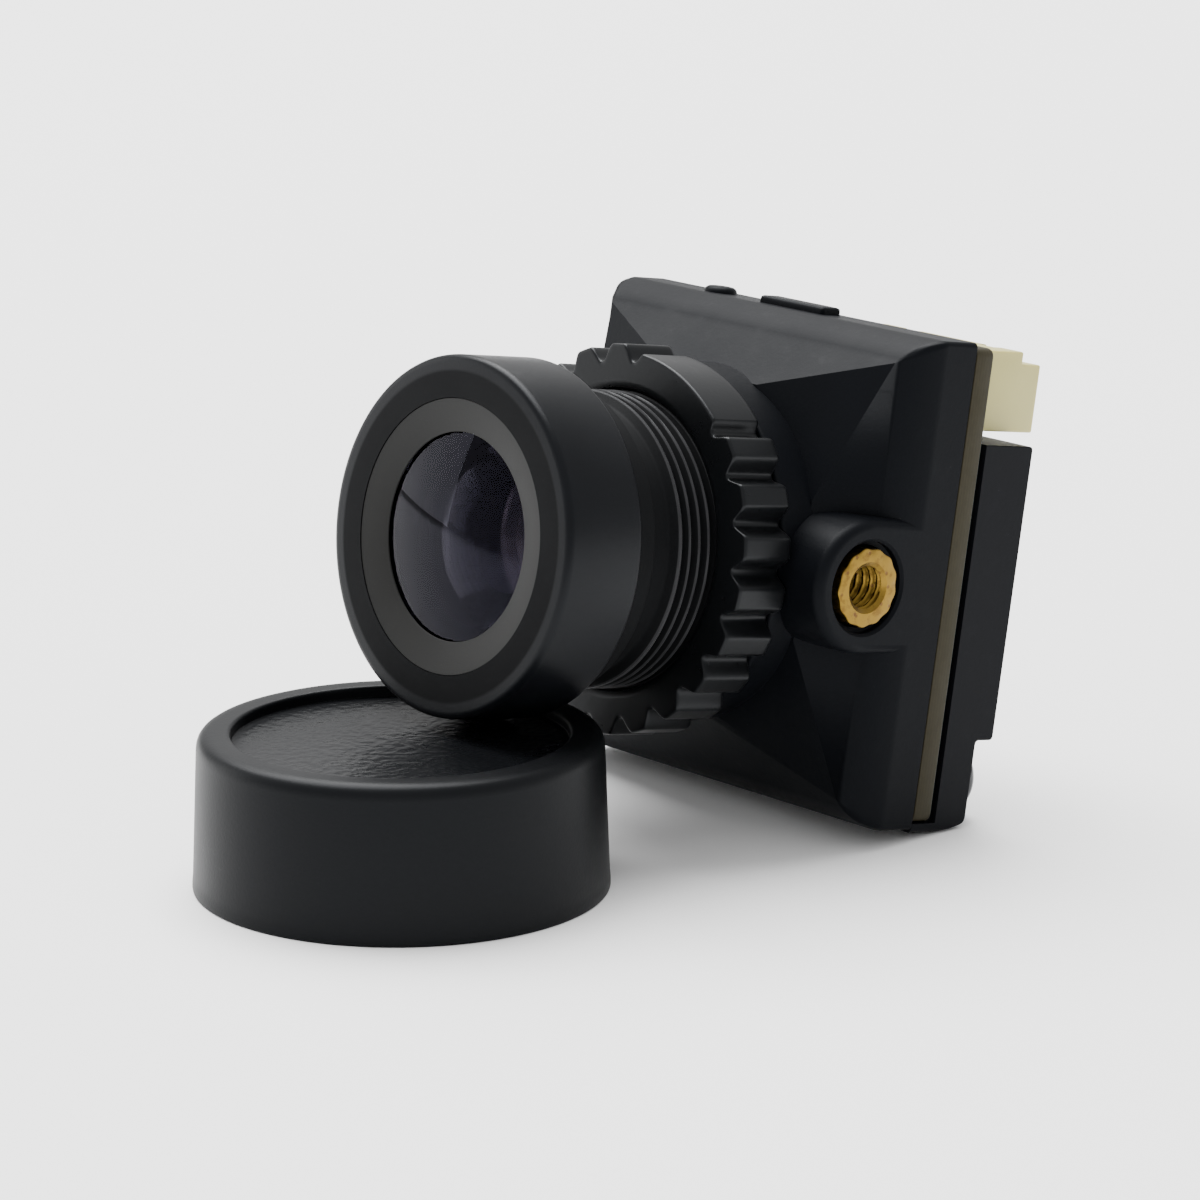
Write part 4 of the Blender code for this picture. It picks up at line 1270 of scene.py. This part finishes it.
@dataclass
class Connector:
    """Ivory connector with a stepped top, a plug well and a row of tinned pins."""

    left: float = 0.16
    right: float = 8.16
    low: float = 6.01
    high: float = 9.3
    front: float = 1.06
    back: float = 5.25
    step_z: float = 8.8
    step_back: float = 4.17
    floor: float = 2.2
    wall: float = 0.7
    pins: int = 5
    pitch: float = 1.25
    pin_half: float = 0.2
    pin_tip: float = 4.6
    pin_point: float = 0.38
    pin_play: float = 0.07
    well_lip: float = 0.5
    latch_x: float = 2.3
    latch_half: float = 0.45

    def shroud(self) -> bpy.types.Mesh:
        """The shroud with its well, latch windows and pin holes."""
        side = [
            (self.front, self.low), (self.back, self.low), (self.back, self.step_z),
            (self.step_back, self.step_z), (self.step_back, self.high), (self.front, self.high),
        ]
        body = round_sharp(extrude([side], self.left, self.right, axis="X"), 0.09, 3)
        well_low = (self.left + self.wall, self.floor, self.low + self.wall)
        well_high = (self.right - self.wall, self.back + OVERSHOOT, self.step_z - self.well_lip)
        cuts = [(Cut.REMOVE, block(well_low, well_high, 0.1, 2))]
        row_z = (well_low[2] + well_high[2]) / 2.0
        for x in self.places():
            reach = self.pin_half + self.pin_play
            low = (x - reach, self.front - OVERSHOOT, row_z - reach)
            high = (x + reach, self.floor + OVERSHOOT, row_z + reach)
            cuts.append((Cut.REMOVE, block(low, high)))
        middle = (self.left + self.right) / 2.0
        for latch in (middle - self.latch_x, middle + self.latch_x):
            low = (latch - self.latch_half, self.back - 1.6, self.step_z - 0.7)
            high = (latch + self.latch_half, self.back + 0.5, self.step_z + 0.5)
            cuts.append((Cut.REMOVE, block(low, high)))
        return combine(body, cuts)

    def places(self) -> list[float]:
        """Where the pins stand, across the connector."""
        middle = (self.left + self.right) / 2.0
        return [middle + (index - (self.pins - 1) / 2.0) * self.pitch for index in range(self.pins)]

    def pin(self, shop: Workshop, x: float) -> bpy.types.Mesh:
        """One square pin with a pointed tip, shaped by a tree."""
        tree = Shaper("contact_pin")
        half = tree.named("Half Width", self.pin_half - 0.01)
        length = tree.named("Length", self.pin_tip - self.front)
        point = tree.named("Point Length", 0.35)
        row_z = (self.low + self.wall + self.step_z - self.well_lip) / 2.0
        size = tree.join(half * 2.0, length, half * 2.0)
        bar = tree.node("GeometryNodeMeshCube",
                        inputs={"Size": size, "Vertices X": 5, "Vertices Y": 25, "Vertices Z": 5})
        across, along, up, _ = tree.position()
        to_tip = (length * 0.5 - along) / point
        narrow = to_tip.least(1.0) * (1.0 - self.pin_point) + self.pin_point
        shaped = tree.reshaped(bar, across * narrow, along, up * narrow)
        middle = (x, (self.pin_tip + self.front) / 2.0, row_z)
        placed = tree.node("GeometryNodeTransform", inputs={"Geometry": shaped, "Translation": middle})
        return tree.run(None, placed, shop.material("contact_tin"))

    def build(self, shop: Workshop) -> None:
        """Build and dress the connector."""
        shop.add("connector_body", self.shroud(), "connector_nylon", Body.CAMERA, Slot.CONNECTOR,
                 ["connector_shroud"])
        for index, x in enumerate(self.places(), 1):
            shop.add(f"contact_pin_{index}", self.pin(shop, x), "contact_tin", Body.CAMERA, Slot.CONTACT,
                     [f"connector_contact_{index}"])


@dataclass
class RearCover:
    """Black rear cover: a block over the components, a thinner plate under it and a lip below the board."""

    half_width: float = 9.45
    front: float = 1.06
    block_back: float = 4.07
    plate_back: float = 3.1
    top: float = 5.63
    step_z: float = -6.47
    bottom: float = -10.28
    lip_top: float = -9.85
    rise_start: float = 1.5
    rise: float = 0.38
    corner: float = 0.4
    edge_round: float = 0.2
    seam_width: float = 0.3
    seam_depth: float = 0.3
    roof: float = 3.2
    screw_hole: float = 1.1
    peg_radius: float = 0.5
    peg_block: Point = (0.9, 0.8)
    space_half: float = 8.2
    space_low: float = -6.0
    reach: float = 6.0

    def build(self, shop: Workshop) -> None:
        """Build and dress the cover."""
        side = rounded([
            (self.front, self.top, 0.1),
            (self.front, self.lip_top, 0.05),
            (GAP, self.lip_top, 0.05),
            (GAP, self.bottom, 0.25),
            (self.rise_start, self.bottom, 0.7),
            (self.plate_back, self.bottom + self.rise, 0.3),
            (self.plate_back, self.step_z, 0.2),
            (self.block_back, self.step_z, self.edge_round),
            (self.block_back, self.top, self.edge_round),
        ], 0.1, 5)
        slab = extrude([side], -self.half_width, self.half_width, axis="X")
        slab = round_sharp(slab, 0.16, 3, 60.0)
        top_corner = (self.half_width, self.top + 3.0)
        outline = rectangle((-self.half_width, self.bottom), top_corner, self.corner)
        limits = extrude([outline], -OVERSHOOT, self.reach)
        space = self.space_half
        cavity = block((-space, 0.0, self.space_low), (space, self.roof, self.top - 0.9))
        changes = [(Cut.KEEP, limits), (Cut.REMOVE, cavity)]
        seam_x = self.half_width - self.seam_depth
        outer_x = self.half_width + OVERSHOOT
        for ends in ((-outer_x, -seam_x), (seam_x, outer_x)):
            low = (ends[0], self.front - 0.5, self.lip_top)
            seam = block(low, (ends[1], self.front + self.seam_width, self.top + OVERSHOOT))
            changes.append((Cut.REMOVE, seam))
        for sign in (-1.0, 1.0):
            outline = circle(sign * SCREW_X, SCREW_Z, self.screw_hole, 40)
            changes.append((Cut.REMOVE, extrude([outline], 0.0, self.reach)))
            wide, high = self.peg_block
            root_low = (sign * PEG_X - wide, self.front, PEG_Z - high)
            root_high = (sign * PEG_X + wide, self.roof + 0.3, PEG_Z + high)
            changes.append((Cut.ADD, block(root_low, root_high)))
            peg = extrude([circle(sign * PEG_X, PEG_Z, self.peg_radius, 32)], GAP, self.roof)
            changes.append((Cut.ADD, peg))
        mesh = combine(slab, changes)
        shop.add("cover_shell", mesh, "cover_plastic", Body.CAMERA, Slot.HOUSING, ["rear_cover"],
                 flats=True)


@dataclass
class CoverScrews:
    """Two black dome-head M2 screws with cross recesses."""

    seat: float = 3.16
    head_radius: float = 1.55
    rim: float = 0.74
    height: float = 1.45
    tip: float = -1.8
    minor: float = 0.80
    major: float = 0.98
    pitch: float = 0.4
    slot_half: Point = (0.85, 0.17)
    slot_depth: float = 0.75
    slot_turn: float = 0.3

    def profile(self) -> list[Point]:
        """Cross-section of the blank."""
        shaft_end = (self.major, self.tip + 0.4)
        shaft_start = (self.major, self.seat - 0.1)
        points = [(0.0, self.tip), (self.minor - 0.15, self.tip), shaft_end]
        points += spread(shaft_end, shaft_start, 0.05) + [shaft_start, (self.major, self.seat)]
        points += rounded([(self.major, self.seat), (self.head_radius, self.seat, 0.08),
                           (self.head_radius, self.seat + self.rim)], 0.0, 3, closed=False)[1:]
        crown = self.height - self.rim
        for step in range(1, 12):
            angle = math.radians(90.0 * step / 12)
            height = self.seat + self.rim + crown * math.sin(angle)
            points.append((self.head_radius * math.cos(angle), height))
        return points + [(0.0, self.seat + self.height)]

    def tree(self) -> tuple[Shaper, Value]:
        """Geometry tree that rolls the thread into the shaft."""
        tree = Shaper("rolled_thread")
        pitch = tree.named("Thread Pitch", self.pitch)
        depth = tree.named("Thread Depth", self.major - self.minor)
        first = tree.named("Thread Start", self.tip + 0.3)
        last = tree.named("Thread End", self.seat - 0.3)
        across, along, up, radius = tree.position()
        angle = tree.angle(across, up)
        turn = (along / pitch + angle / math.tau).fraction()
        groove = ((turn * 2.0 - 1.0).size()).ramp(0.12, 0.92)
        there = (along - first).ramp(0.0, 0.2) * (last - along).ramp(0.0, 0.2)
        there = there * (radius > (self.major - 0.03))
        factor = (radius - groove * depth * there) / radius.most(1e-4)
        return tree, tree.scaled_about_axis(factor, across, along, up)

    def build(self, shop: Workshop) -> None:
        """Build and dress both screws."""
        for side, name in ((-1.0, "left"), (1.0, "right")):
            tree, result = self.tree()
            blank = tree.run(lathe(self.profile(), 64), result, shop.material("screw_black"))
            top = self.seat + self.height
            cuts = []
            long, wide = self.slot_half
            for quarter in range(2):
                slot = block((-long, top - self.slot_depth, -wide), (long, top + 0.6, wide), 0.04, 2)
                turn = Matrix.Rotation(quarter * QUARTER + self.slot_turn, 4, "Y")
                cuts.append((Cut.REMOVE, moved(slot, turn)))
            mesh = moved(combine(blank, cuts), Matrix.Translation((side * SCREW_X, 0.0, SCREW_Z)))
            shop.add(f"dome_screw_{name}", mesh, "screw_black", Body.CAMERA, Slot.SCREW,
                     [f"cover_screw_{name}"])


@dataclass
class LockRing:
    """Toothed lock ring: 24 pitches of rounded teeth, with one wide flat tooth for the thumb."""

    front: float = -9.6
    back: float = -7.1
    tip: float = 7.85
    valley: float = 7.2
    bore: float = 6.03
    pitches: float = 24.0
    wide_from: float = 45.0
    wide_to: float = 90.0
    wide_tip: float = 7.58
    edge: float = 0.3

    def profile(self) -> list[Point]:
        """Cross-section of the blank, with close rings over its front face and its rim."""
        outer_front = (self.tip - self.edge, self.front)
        inner_front = (self.bore + 0.3, self.front)
        rim_end = (self.tip, self.front + self.edge)
        rim = rounded([outer_front, (self.tip, self.front), rim_end], self.edge, 6, False)
        tail_start = (self.tip, self.back - self.edge)
        tail_end = (self.tip - self.edge, self.back)
        tail = rounded([tail_start, (self.tip, self.back), tail_end], self.edge * 0.8, 4, False)
        corner = [(self.bore, self.front + 0.3), (self.bore + 0.06, self.front + 0.1)]
        back = [(self.valley - 0.5, self.back), (self.bore + 0.2, self.back), (self.bore, self.back - 0.2)]
        face = spread(inner_front, outer_front, 0.1)
        side = spread(rim[-1], tail[0], 0.3)
        return corner + [inner_front] + face + rim + side + tail + back

    def tree(self) -> tuple[Shaper, Value]:
        """Geometry tree that presses the valleys into the blank."""
        tree = Shaper("ring_teeth")
        pitches = tree.named("Pitches", self.pitches)
        valley = tree.named("Valley Radius", self.valley)
        tip = tree.named("Tip Radius", self.tip)
        wide_tip = tree.named("Wide Tooth Radius", self.wide_tip)
        root = tree.named("Root Radius", self.bore + 0.35)
        across, along, up, radius = tree.position()
        angle = tree.angle(across, up)
        turn = (angle / math.tau + 1.0).fraction()
        from_middle = (((turn * pitches).fraction()) * 2.0 - 1.0).size()
        tooth = from_middle.ramp(0.95, 0.34)
        degrees = turn * 360.0
        in_wide = degrees.ramp(self.wide_from + 0.8, self.wide_from + 3.6)
        in_wide = in_wide * degrees.ramp(self.wide_to - 0.8, self.wide_to - 3.6)
        beside = (degrees > self.wide_from) * (degrees < self.wide_to)
        narrow_reach = valley + (tip - valley) * tooth
        wide_reach = valley + (wide_tip - valley) * in_wide
        reach = narrow_reach * (1.0 - beside) + wide_reach * beside
        share = ((radius - root) / (tip - root) * 1.35).most(0.0).least(1.0)
        factor = (radius - (tip - reach) * share) / radius
        return tree, tree.scaled_about_axis(factor, across, along, up)

    def build(self, shop: Workshop) -> None:
        """Build and dress the ring."""
        tree, result = self.tree()
        mesh = tree.run(lathe(self.profile(), 720), result, shop.material("ring_plastic"))
        shop.add("toothed_lock_ring", mesh, "ring_plastic", Body.RING, Slot.LENS_METAL,
                 ["lens_lock_ring"])


@dataclass
class Lens:
    """M12 lens: threaded barrel with its head, conical bezel ring, domed glass and the stack behind it."""

    head_radius: float = 7.12
    head_front: float = -18.1
    head_back: float = -14.35
    neck_radius: float = 6.3
    neck_back: float = -12.9
    relief: float = 5.6
    major: float = 5.98
    minor: float = 5.66
    pitch: float = 0.5
    thread_front: float = -11.5
    back: float = -3.45
    bezel_radius: float = 5.42
    bezel_seat: float = -17.0
    front_cell: float = 5.0
    front_cell_y: float = -14.5
    rear_cell: float = 4.0
    rear_cell_y: float = -7.0
    shoulder: float = 3.3
    filter_y: float = -5.0
    filter_radius: float = 4.5
    glass_edge: float = 4.1
    cone_y: float = -17.75
    cone_under: Point = (-17.52, -17.69)
    play: float = 0.07
    spacer_y: float = -16.14
    spacer_wide: float = 3.5
    spacer_narrow: float = 2.3
    baffles: int = 8
    # Faces of the glass: clear radius, seat and bulge. The front face is as wide as its cell.
    front_face: Point = (-17.46, -0.56)
    rear_face: Point = (3.4, -16.2, -0.8)
    second_faces: tuple[Point, Point] = ((2.7, -14.45, -0.1), (2.6, -13.3, -0.3))

    def barrel_profile(self) -> list[Point]:
        """Cross-section of the barrel blank, with fine rows where the thread is cut."""
        thread_start = (self.major, self.thread_front + 0.2)
        thread_end = (self.major, self.back - 0.3)
        front = rounded([
            (self.bezel_radius, self.head_front, 0.02),
            (self.head_radius, self.head_front, 0.3),
            (self.head_radius, self.head_back, 0.16),
            (self.neck_radius, self.head_back, 0.1),
            (self.neck_radius, self.neck_back, 0.14),
            (self.relief, self.neck_back, 0.15),
            (self.relief, self.thread_front - 0.1, 0.1),
            thread_start,
        ], 0.0, 5, closed=False)
        thread = spread(thread_start, thread_end, 0.036)
        rear = rounded([
            thread_end,
            (self.major, self.back - 0.2, 0.0),
            (self.major - 0.25, self.back, 0.05),
            (self.filter_radius, self.back, 0.05),
            (self.filter_radius, self.filter_y, 0.05),
            (self.shoulder, self.filter_y, 0.05),
            (self.shoulder, self.rear_cell_y, 0.05),
            (self.rear_cell, self.rear_cell_y, 0.05),
            (self.rear_cell, self.front_cell_y, 0.05),
            (self.front_cell, self.front_cell_y, 0.05),
            (self.front_cell, self.bezel_seat, 0.03),
            (self.bezel_radius, self.bezel_seat, 0.03),
            (self.bezel_radius, self.head_front + 0.1, 0.0),
        ], 0.0, 2, closed=False)
        return front + thread + rear

    def thread_tree(self) -> tuple[Shaper, Value]:
        """Geometry tree that cuts the M12 thread into the blank."""
        tree = Shaper("lens_thread")
        pitch = tree.named("Thread Pitch", self.pitch)
        depth = tree.named("Thread Depth", self.major - self.minor)
        first = tree.named("Thread Start", self.thread_front + 0.15)
        last = tree.named("Thread End", self.back - 0.25)
        across, along, up, radius = tree.position()
        angle = tree.angle(across, up)
        turn = (along / pitch + angle / math.tau).fraction()
        groove = (((turn * 2.0 - 1.0).size() - 0.1) * 1.5).most(0.0).least(1.0)
        there = (along - first).ramp(0.0, 0.4) * (last - along).ramp(0.0, 0.3)
        there = there * (radius > (self.major - 0.04))
        factor = (radius - groove * depth * there) / radius
        return tree, tree.scaled_about_axis(factor, across, along, up)

    def build_metal(self, shop: Workshop) -> None:
        """Build and dress the barrel, the bezel ring and the rings inside."""
        tree, result = self.thread_tree()
        barrel = tree.run(lathe(self.barrel_profile(), 168), result, shop.material("black_anodised"))
        shop.add("barrel_body", barrel, "black_anodised", Body.LENS, Slot.LENS_METAL, ["lens_barrel"])
        outer = self.bezel_radius - 0.02
        bezel = rounded([
            (self.glass_edge, self.cone_y, 0.03),
            (outer, self.head_front + 0.03, 0.02),
            (outer, self.bezel_seat - 0.02, 0.03),
            (self.front_cell, self.bezel_seat - 0.02, 0.0),
            (self.front_cell, self.cone_under[0], 0.0),
            (self.glass_edge, self.cone_under[1], 0.02),
        ], 0.0, 4)
        shop.add("conical_bezel", lathe(bezel, 168), "bezel_anodised_painted_reflection", Body.LENS, Slot.LENS_METAL,
                 ["lens_bezel_ring"])
        shop.add("baffled_spacer", self.spacer(), "blackened_bore", Body.LENS, Slot.LENS_METAL,
                 ["front_spacer"])
        for node in ("aperture_stop", "rear_spacer"):
            shop.dress(node, "blackened_bore")

    def spacer(self) -> bpy.types.Mesh:
        """The front spacer, whose bore narrows towards the rear in small baffle steps."""
        inner = self.front_cell - self.play
        rear_y = self.front_cell_y - GAP
        profile = [(self.spacer_wide, self.spacer_y), (inner, self.spacer_y)]
        profile += [(inner, rear_y), (self.spacer_narrow, rear_y)]
        for step in range(1, self.baffles):
            share = step / self.baffles
            width = self.spacer_narrow + (self.spacer_wide - self.spacer_narrow) * share
            place = rear_y + (self.spacer_y - rear_y) * share
            profile += [(width, place), (width + 0.05, place - 0.08)]
        return lathe(profile, 96)

    def glass(self, radius: float, front: Point, back: Point, steps: int = 14) -> bpy.types.Mesh:
        """One glass element.

        Args:
            radius: outer radius.
            front: (clear radius, seat position, bulge towards the rear) of the front face.
            back: the same of the rear face.
            steps: rings on each face.

        Returns:
            The element's mesh.
        """
        rim = [(radius, front[1]), (radius, back[1])]
        profile = self._face(front, steps) + rim + self._face(back, steps)[::-1]
        cleaned = [profile[0]]
        cleaned += [point for before, point in zip(profile, profile[1:]) if point != before]
        return lathe(cleaned, 128)

    @staticmethod
    def _face(face: Point, steps: int) -> list[Point]:
        """Points of a curved face from its centre outwards."""
        clear, seat, bulge = face
        radii = (clear * step / steps for step in range(steps + 1))
        return [(radius, seat + bulge * (1.0 - (radius / clear) ** 2)) for radius in radii]

    def build_glass(self, shop: Workshop) -> None:
        """Build and dress the front two elements and dress the others."""
        front_radius = self.front_cell - self.play
        front = self.glass(front_radius, (front_radius, *self.front_face), self.rear_face)
        shop.add("domed_front_glass", front, "front_glass", Body.LENS, Slot.GLASS, ["front_element"])
        second = self.glass(self.rear_cell - self.play, *self.second_faces)
        shop.add("second_glass", second, "inner_glass", Body.LENS, Slot.GLASS, ["second_element"])
        for node in ("third_element", "rear_element"):
            shop.dress(node, "inner_glass")
        shop.dress("infrared_filter", "filter_glass")

    def build(self, shop: Workshop) -> None:
        """Build and dress the lens."""
        self.build_metal(shop)
        self.build_glass(shop)


@dataclass
class LensCap:
    """Round lens cap, upside down, with a soft rim round a shallow pebbled disc."""

    top_radius: float = 7.93
    base_radius: float = 8.18
    height: float = 6.23
    recess: float = 6.6
    recess_depth: float = 0.46
    bore: float = 7.2
    bore_depth: float = 4.75

    def blank(self) -> bpy.types.Mesh:
        """The turned cap, with fine rings on the disc, drawn upright along Y."""
        disc = self.height - self.recess_depth
        middle = (0.0, disc)
        disc_end = (self.recess - 0.12, disc)
        outline = [middle] + spread(middle, disc_end, 0.14)
        outline += rounded([
            disc_end,
            (self.recess, disc, 0.12),
            (self.recess, self.height, 0.2),
            (self.top_radius, self.height, 0.62),
            (self.base_radius - 0.03, 0.55, 0.3),
            (self.base_radius, 0.3, 0.2),
            (self.base_radius, 0.0, 0.1),
            (self.bore + 0.15, 0.0, 0.05),
            (self.bore, 0.2, 0.05),
            (self.bore, self.bore_depth, 0.3),
            (0.0, self.bore_depth),
        ], 0.0, 6, closed=False)
        return lathe(outline, 176)

    def tree(self) -> tuple[Shaper, Value]:
        """Geometry tree that gives the disc its shallow pebbles."""
        tree = Shaper("pebbled_disc")
        radius_limit = tree.named("Disc Radius", self.recess - 0.35)
        depth = tree.named("Pebble Depth", 0.02)
        scale = tree.named("Pebble Scale", 2.2)
        across, along, up, radius = tree.position()
        noise = tree.noise(tree.join(across, 0.0, up), scale)
        disc = self.height - self.recess_depth
        on_disc = (radius_limit - radius).ramp(0.0, 0.4) * (along > (disc - 0.05)) * (along < (disc + 0.05))
        return tree, tree.reshaped(tree.geometry, across, along + (noise - 0.5) * depth * on_disc, up)

    def build(self, shop: Workshop) -> None:
        """Build and dress the cap."""
        tree, result = self.tree()
        mesh = tree.run(self.blank(), result, shop.material("cap_plastic"))
        moved(mesh, Matrix.Rotation(QUARTER, 4, "X"))
        shop.add("pebbled_lens_cap", mesh, "cap_plastic", Body.CAP, Slot.CAP, ["lens_cap"], shop.cap)


# ---------------------------------------------------------------------------------------------------------
# Studio
# ---------------------------------------------------------------------------------------------------------


@dataclass
class Studio:
    """Pale floor, soft lights and the camera that views the object."""

    floor_side: float = 3.0
    target: Point = (0.0, 0.00108, 0.00961)
    azimuth: float = 48.944
    elevation: float = 14.118
    roll: float = 0.108
    distance: float = 0.19786
    focal_length: float = 147.95
    surroundings: float = 1.05

    def floor(self) -> None:
        """Lay the floor."""
        shell = bmesh.new()
        bmesh.ops.create_grid(shell, x_segments=1, y_segments=1, size=self.floor_side / 2.0)
        floor = new_object("studio_floor", to_mesh(shell, "studio_floor"))
        material = bpy.data.materials.new("studio_white")
        material.use_nodes = True
        shader = material.node_tree.nodes["Principled BSDF"]
        shader.inputs["Base Color"].default_value = (0.93, 0.93, 0.93, 1.0)
        shader.inputs["Roughness"].default_value = 0.75
        floor.data.materials.append(material)

    def lamp(self, name: str, place: Point, size: float, power: float) -> None:
        """Hang a square soft light that faces the object.

        Args:
            name: its name.
            place: its position in metres.
            size: its side in metres.
            power: its power in watts.
        """
        light = bpy.data.lights.new(name, "AREA")
        light.shape = "SQUARE"
        light.size = size
        light.energy = power
        lamp = new_object(name, light)
        lamp.location = place
        aim = Vector(self.target) - Vector(place)
        lamp.rotation_euler = aim.to_track_quat("-Z", "Y").to_euler()

    def lights(self) -> None:
        """Hang the lights and set the surroundings."""
        world = bpy.data.worlds.new("studio_world")
        world.use_nodes = True
        background = world.node_tree.nodes["Background"]
        background.inputs["Color"].default_value = (1.0, 1.0, 1.0, 1.0)
        background.inputs["Strength"].default_value = self.surroundings
        bpy.context.scene.world = world
        self.lamp("overhead_left", (-0.50, 0.16, 1.22), 1.3, 62.0)
        self.lamp("side_left", (-0.80, -0.42, 0.22), 0.42, 1.5)

    def camera(self) -> None:
        """Place the camera."""
        azimuth, elevation = math.radians(self.azimuth), math.radians(self.elevation)
        away = Vector((
            math.sin(azimuth) * math.cos(elevation),
            -math.cos(azimuth) * math.cos(elevation),
            math.sin(elevation),
        ))
        lens = bpy.data.cameras.new("studio_camera")
        lens.lens = self.focal_length
        lens.sensor_width = 36.0
        lens.clip_start = 0.005
        lens.clip_end = 20.0
        camera = new_object("studio_camera", lens)
        camera.location = Vector(self.target) + away * self.distance
        aim = (-away).to_track_quat("-Z", "Y").to_matrix().to_4x4()
        camera.rotation_euler = (aim @ Matrix.Rotation(math.radians(self.roll), 4, "Z")).to_euler()
        bpy.context.scene.camera = camera

    def build(self) -> None:
        """Set up the studio."""
        self.floor()
        self.lights()
        self.camera()


def main() -> None:
    """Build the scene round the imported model."""
    logging.basicConfig(level=logging.INFO, format="%(name)s: %(message)s")
    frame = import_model()
    Studio().build()
    shop = Workshop(frame)
    assemblies = (FrontHousing(), SideInsert(), Board(), Connector(), RearCover(), CoverScrews(),
                  LockRing(), Lens(), LensCap())
    for assembly in assemblies:
        LOG.info("building %s", type(assembly).__name__)
        assembly.build(shop)


if __name__ == "__main__":
    main()
